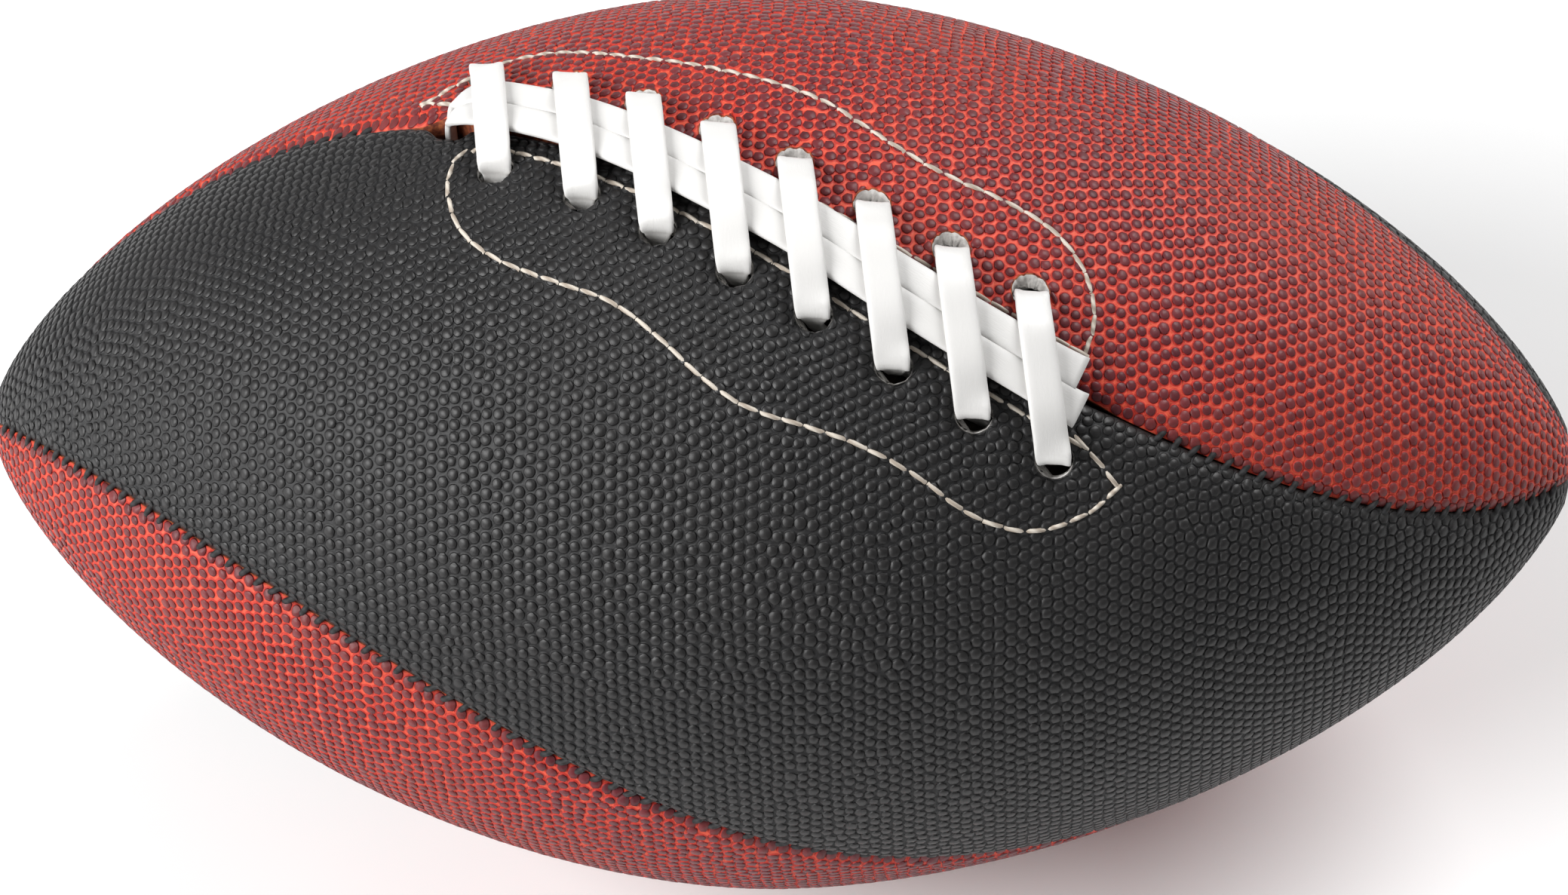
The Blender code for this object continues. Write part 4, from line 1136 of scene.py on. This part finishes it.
def fibrous(name, dark, light, scale, roughness):
    """Cut edges, felt and split leather: short fibres in two tones."""
    made, tree, shader = new_material(name, roughness)
    fibres = noise(tree, scale, 5.0)
    colour = mix_colour(tree, ramp(tree, fibres, 0.35, 0.65), dark, light)
    tree.links.new(colour, shader.inputs["Base Color"])
    bump(tree, shader, fibres, 0.0002)
    return made


def woven(name, dark, light, threads, roughness):
    """Plain weave: two crossing bands of threads."""
    made, tree, shader = new_material(name, roughness)
    spot = add_node(tree, "ShaderNodeTexCoord").outputs["Object"]
    bands = [add_node(tree, "ShaderNodeTexWave", {"Vector": spot, "Scale": threads, "Distortion": 0.6},
                      bands_direction=way).outputs["Fac"] for way in ("X", "DIAGONAL")]
    weave = math_node(tree, "MAXIMUM", *bands)
    tree.links.new(mix_colour(tree, weave, dark, light), shader.inputs["Base Color"])
    bump(tree, shader, weave, 0.0002)
    return made


def lace_vinyl(wear):
    """White vinyl, slightly dirty, with faint ribs along the lace."""
    made, tree, shader = new_material("lace_vinyl")
    worn = place_group(tree, wear, Scale=60.0, Marks=0.3)["Wear"]
    colour = mix_colour(tree, times(tree, worn, 0.35), (0.74, 0.73, 0.715), (0.64, 0.63, 0.61))
    tree.links.new(colour, shader.inputs["Base Color"])
    rough = math_node(tree, "ADD", 0.34, times(tree, worn, 0.14))
    tree.links.new(rough, shader.inputs["Roughness"])
    spot = add_node(tree, "ShaderNodeUVMap", uv_map="lace").outputs[0]
    ribs = add_node(tree, "ShaderNodeMapping", {"Vector": spot, "Scale": (220.0, 60.0, 1.0)}).outputs[0]
    bump(tree, shader, noise(tree, 4.0, 3.0, ribs), 0.00006, 0.6)
    return made


def thread_finish(name, dark, light, roughness):
    """Twisted thread: slanting plies in two tones."""
    made, tree, shader = new_material(name, roughness)
    spot = add_node(tree, "ShaderNodeTexCoord").outputs["Object"]
    plies = add_node(tree, "ShaderNodeTexWave", {"Vector": spot, "Scale": 260.0, "Distortion": 1.5},
                     bands_direction="DIAGONAL").outputs["Fac"]
    tree.links.new(mix_colour(tree, plies, dark, light), shader.inputs["Base Color"])
    bump(tree, shader, plies, 0.00010)
    return made


def rubber(name, colour, dusty, scale, roughness):
    made, tree, shader = new_material(name, roughness)
    grain = noise(tree, scale, 4.0)
    dusted = mix_colour(tree, ramp(tree, grain, 0.4, 0.75), colour, dusty)
    tree.links.new(dusted, shader.inputs["Base Color"])
    bump(tree, shader, grain, 0.0001)
    return made


# ---------------------------------------------------------------- pieces

def add_piece(name, mesh, finishes):
    made = bpy.data.objects.new(name, mesh)
    bpy.context.collection.objects.link(made)
    for finish in finishes:
        if finish.name not in mesh.materials:
            mesh.materials.append(finish)
    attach(made, "root")
    return made


def finish_node(name, finish):
    """A node that keeps its plain shape, in its finish."""
    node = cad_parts[name]
    node.data.materials.clear()
    node.data.materials.append(finish)


def make_cover(pebbles, wear):
    pattern = pebble_pattern()
    red = cover_leather("red_cover", RED_LEATHER, pebbles, wear)
    black = cover_leather("black_cover", BLACK_LEATHER, pebbles, wear)
    red_cut = fibrous("red_cut_edge", (0.15, 0.028, 0.015), (0.40, 0.11, 0.035), 900.0, 0.8)
    black_cut = fibrous("black_cut_edge", (0.02, 0.02, 0.02), (0.09, 0.085, 0.08), 900.0, 0.8)
    backing = fibrous("cover_backing", (0.50, 0.48, 0.46), (0.82, 0.80, 0.77), 700.0, 0.9)
    middle = 1.5 * QUARTER
    valve_hole = Hole(spoke(0, middle) * radius_at(0, middle), spoke(0, middle), VALVE_HOLE_RADIUS,
                      Vector((0, 0, 0)))
    panels = (("pebbled_red_top", lace_holes(1)), ("pebbled_black_back", [valve_hole]),
              ("pebbled_red_bottom", []), ("pebbled_black_front", lace_holes(-1)))
    for panel, (name, holes) in enumerate(panels):
        skin, cut = (red, red_cut) if panel % 2 == 0 else (black, black_cut)
        cover_panel(name, pattern, panel, holes, (skin, cut, backing))


def make_lace(wear):
    white = lace_vinyl(wear)
    core = fibrous("lace_core", (0.60, 0.58, 0.54), (0.84, 0.82, 0.78), 1200.0, 0.9)
    lace = add_piece("smooth_lace", lace_mesh(), (white, core))
    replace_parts(lace, "lace")


def make_contour_stitches(tree):
    cream = thread_finish("cream_thread", (0.38, 0.32, 0.26), (0.66, 0.60, 0.52), 0.75)
    for name, lines in (("stitches_top", BACK_LINES), ("stitches_front", FRONT_LINES)):
        routes = [[place(x, across, CONTOUR_LIFT) for x, across in smooth_route(knots)] for knots in lines]
        mesh = stitches(name, routes, tree, cream, CONTOUR_STITCH)
        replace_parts(add_piece(name, mesh, (cream,)), name.replace("stitches", "stitch_line"))


def make_seam_stitches(tree):
    dark = thread_finish("black_thread", (0.006, 0.006, 0.006), (0.022, 0.022, 0.024), 0.7)
    tip = HALF_LENGTH - SEAM_END_ROOM
    for name, seam, start, end in (("back", 1, -tip, tip), ("bottom", 2, -tip, tip), ("front", 3, -tip, tip),
                                   ("laced_left", 0, -tip, SLIT_START - 2 * SLIT_FADE),
                                   ("laced_right", 0, SLIT_END + 2 * SLIT_FADE, tip)):
        route = []
        for x in np.linspace(start, end, SEAM_ROUTE_POINTS):
            bottom = float(round_radius(x)) * (1 - LOBE) - VALLEY_DEPTH * float(valley_scale(x))
            route.append(Vector((x, 0, 0)) + spoke(x, seam * QUARTER) * (bottom + SEAM_LIFT))
        mesh = stitches("seam_stitches_" + name, [route], tree, dark, SEAM_STITCH)
        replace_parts(add_piece("seam_stitches_" + name, mesh, (dark,)), "seam_thread_" + name)


def make_inside():
    lining = woven("lining_cloth", (0.30, 0.30, 0.29), (0.62, 0.62, 0.60), 380.0, 0.9)
    for name in ("red_top", "black_back", "red_bottom", "black_front"):
        finish_node("lining_" + name, lining)
    facing = woven("facing_vinyl", (0.40, 0.38, 0.36), (0.60, 0.58, 0.55), 260.0, 0.8)
    for name in ("facing_top", "facing_front"):
        finish_node(name, facing)
    leather = fibrous("tongue_leather", (0.045, 0.032, 0.026), (0.10, 0.075, 0.06), 500.0, 0.7)
    finish_node("tongue", leather)
    bladder = rubber("bladder_rubber", (0.045, 0.045, 0.05), (0.10, 0.10, 0.10), 90.0, 0.6)
    finish_node("bladder", bladder)
    valve = rubber("valve_rubber", (0.02, 0.02, 0.02), (0.05, 0.05, 0.05), 300.0, 0.5)
    for name in ("valve_housing", "valve_core"):
        finish_node(name, valve)


# ---------------------------------------------------------------- the stage

def add_camera():
    data = bpy.data.cameras.new("camera")
    data.sensor_width, data.lens = 36.0, 127.0
    data.clip_start, data.clip_end = 0.05, 20.0
    camera = bpy.data.objects.new("camera", data)
    bpy.context.collection.objects.link(camera)
    elevation, yaw, roll = 60.85, 4.04, 1.71
    aim = (Matrix.Rotation(math.radians(-elevation), 4, "X") @ Matrix.Rotation(math.radians(yaw), 4, "Z")
           @ Matrix.Rotation(math.radians(90), 4, "X") @ Matrix.Rotation(math.radians(roll), 4, "Z"))
    stand = Vector((0.0096, -0.0066, 7.0)) * HALF_LENGTH
    camera.matrix_world = aim @ Matrix.Translation(stand)
    bpy.context.scene.camera = camera


def add_floor():
    mesh = bpy.data.meshes.new("floor")
    level = cad_box[0].z - FLOOR_GAP
    corners = [(x * FLOOR_REACH, y * FLOOR_REACH, level) for x, y in ((-1, -1), (1, -1), (1, 1), (-1, 1))]
    mesh.from_pydata(corners, [], [(0, 1, 2, 3)])
    floor = bpy.data.objects.new("floor", mesh)
    bpy.context.collection.objects.link(floor)
    made, tree, shader = new_material("pale_floor", 0.9)
    tree.links.new(mix_colour(tree, noise(tree, 40.0), (0.95, 0.95, 0.95), (0.97, 0.97, 0.97)),
                   shader.inputs["Base Color"])
    mesh.materials.append(made)


def add_softbox(name, place_at, size, power):
    data = bpy.data.lights.new(name, "AREA")
    data.shape, data.size, data.energy = "DISK", size, power
    light = bpy.data.objects.new(name, data)
    bpy.context.collection.objects.link(light)
    light.location = place_at
    light.rotation_euler = (-Vector(place_at)).to_track_quat("-Z", "Y").to_euler()


def add_stage():
    world = bpy.data.worlds.new("studio")
    bpy.context.scene.world = world
    world.use_nodes = True
    sky = world.node_tree.nodes["Background"].inputs
    sky["Color"].default_value = (1, 1, 1, 1)
    sky["Strength"].default_value = 0.21
    add_floor()
    add_softbox("key", (-0.84, -0.40, 0.70), 0.8, 18.0)
    add_softbox("fill", (0.55, 0.72, 0.82), 0.8, 13.0)
    bpy.context.scene.view_settings.view_transform = "Standard"


def main():
    add_camera()
    add_stage()
    pebbles, wear = pebble_group(), wear_group()
    make_cover(pebbles, wear)
    make_lace(wear)
    tree = stitch_tree()
    make_contour_stitches(tree)
    make_seam_stitches(tree)
    make_inside()


main()
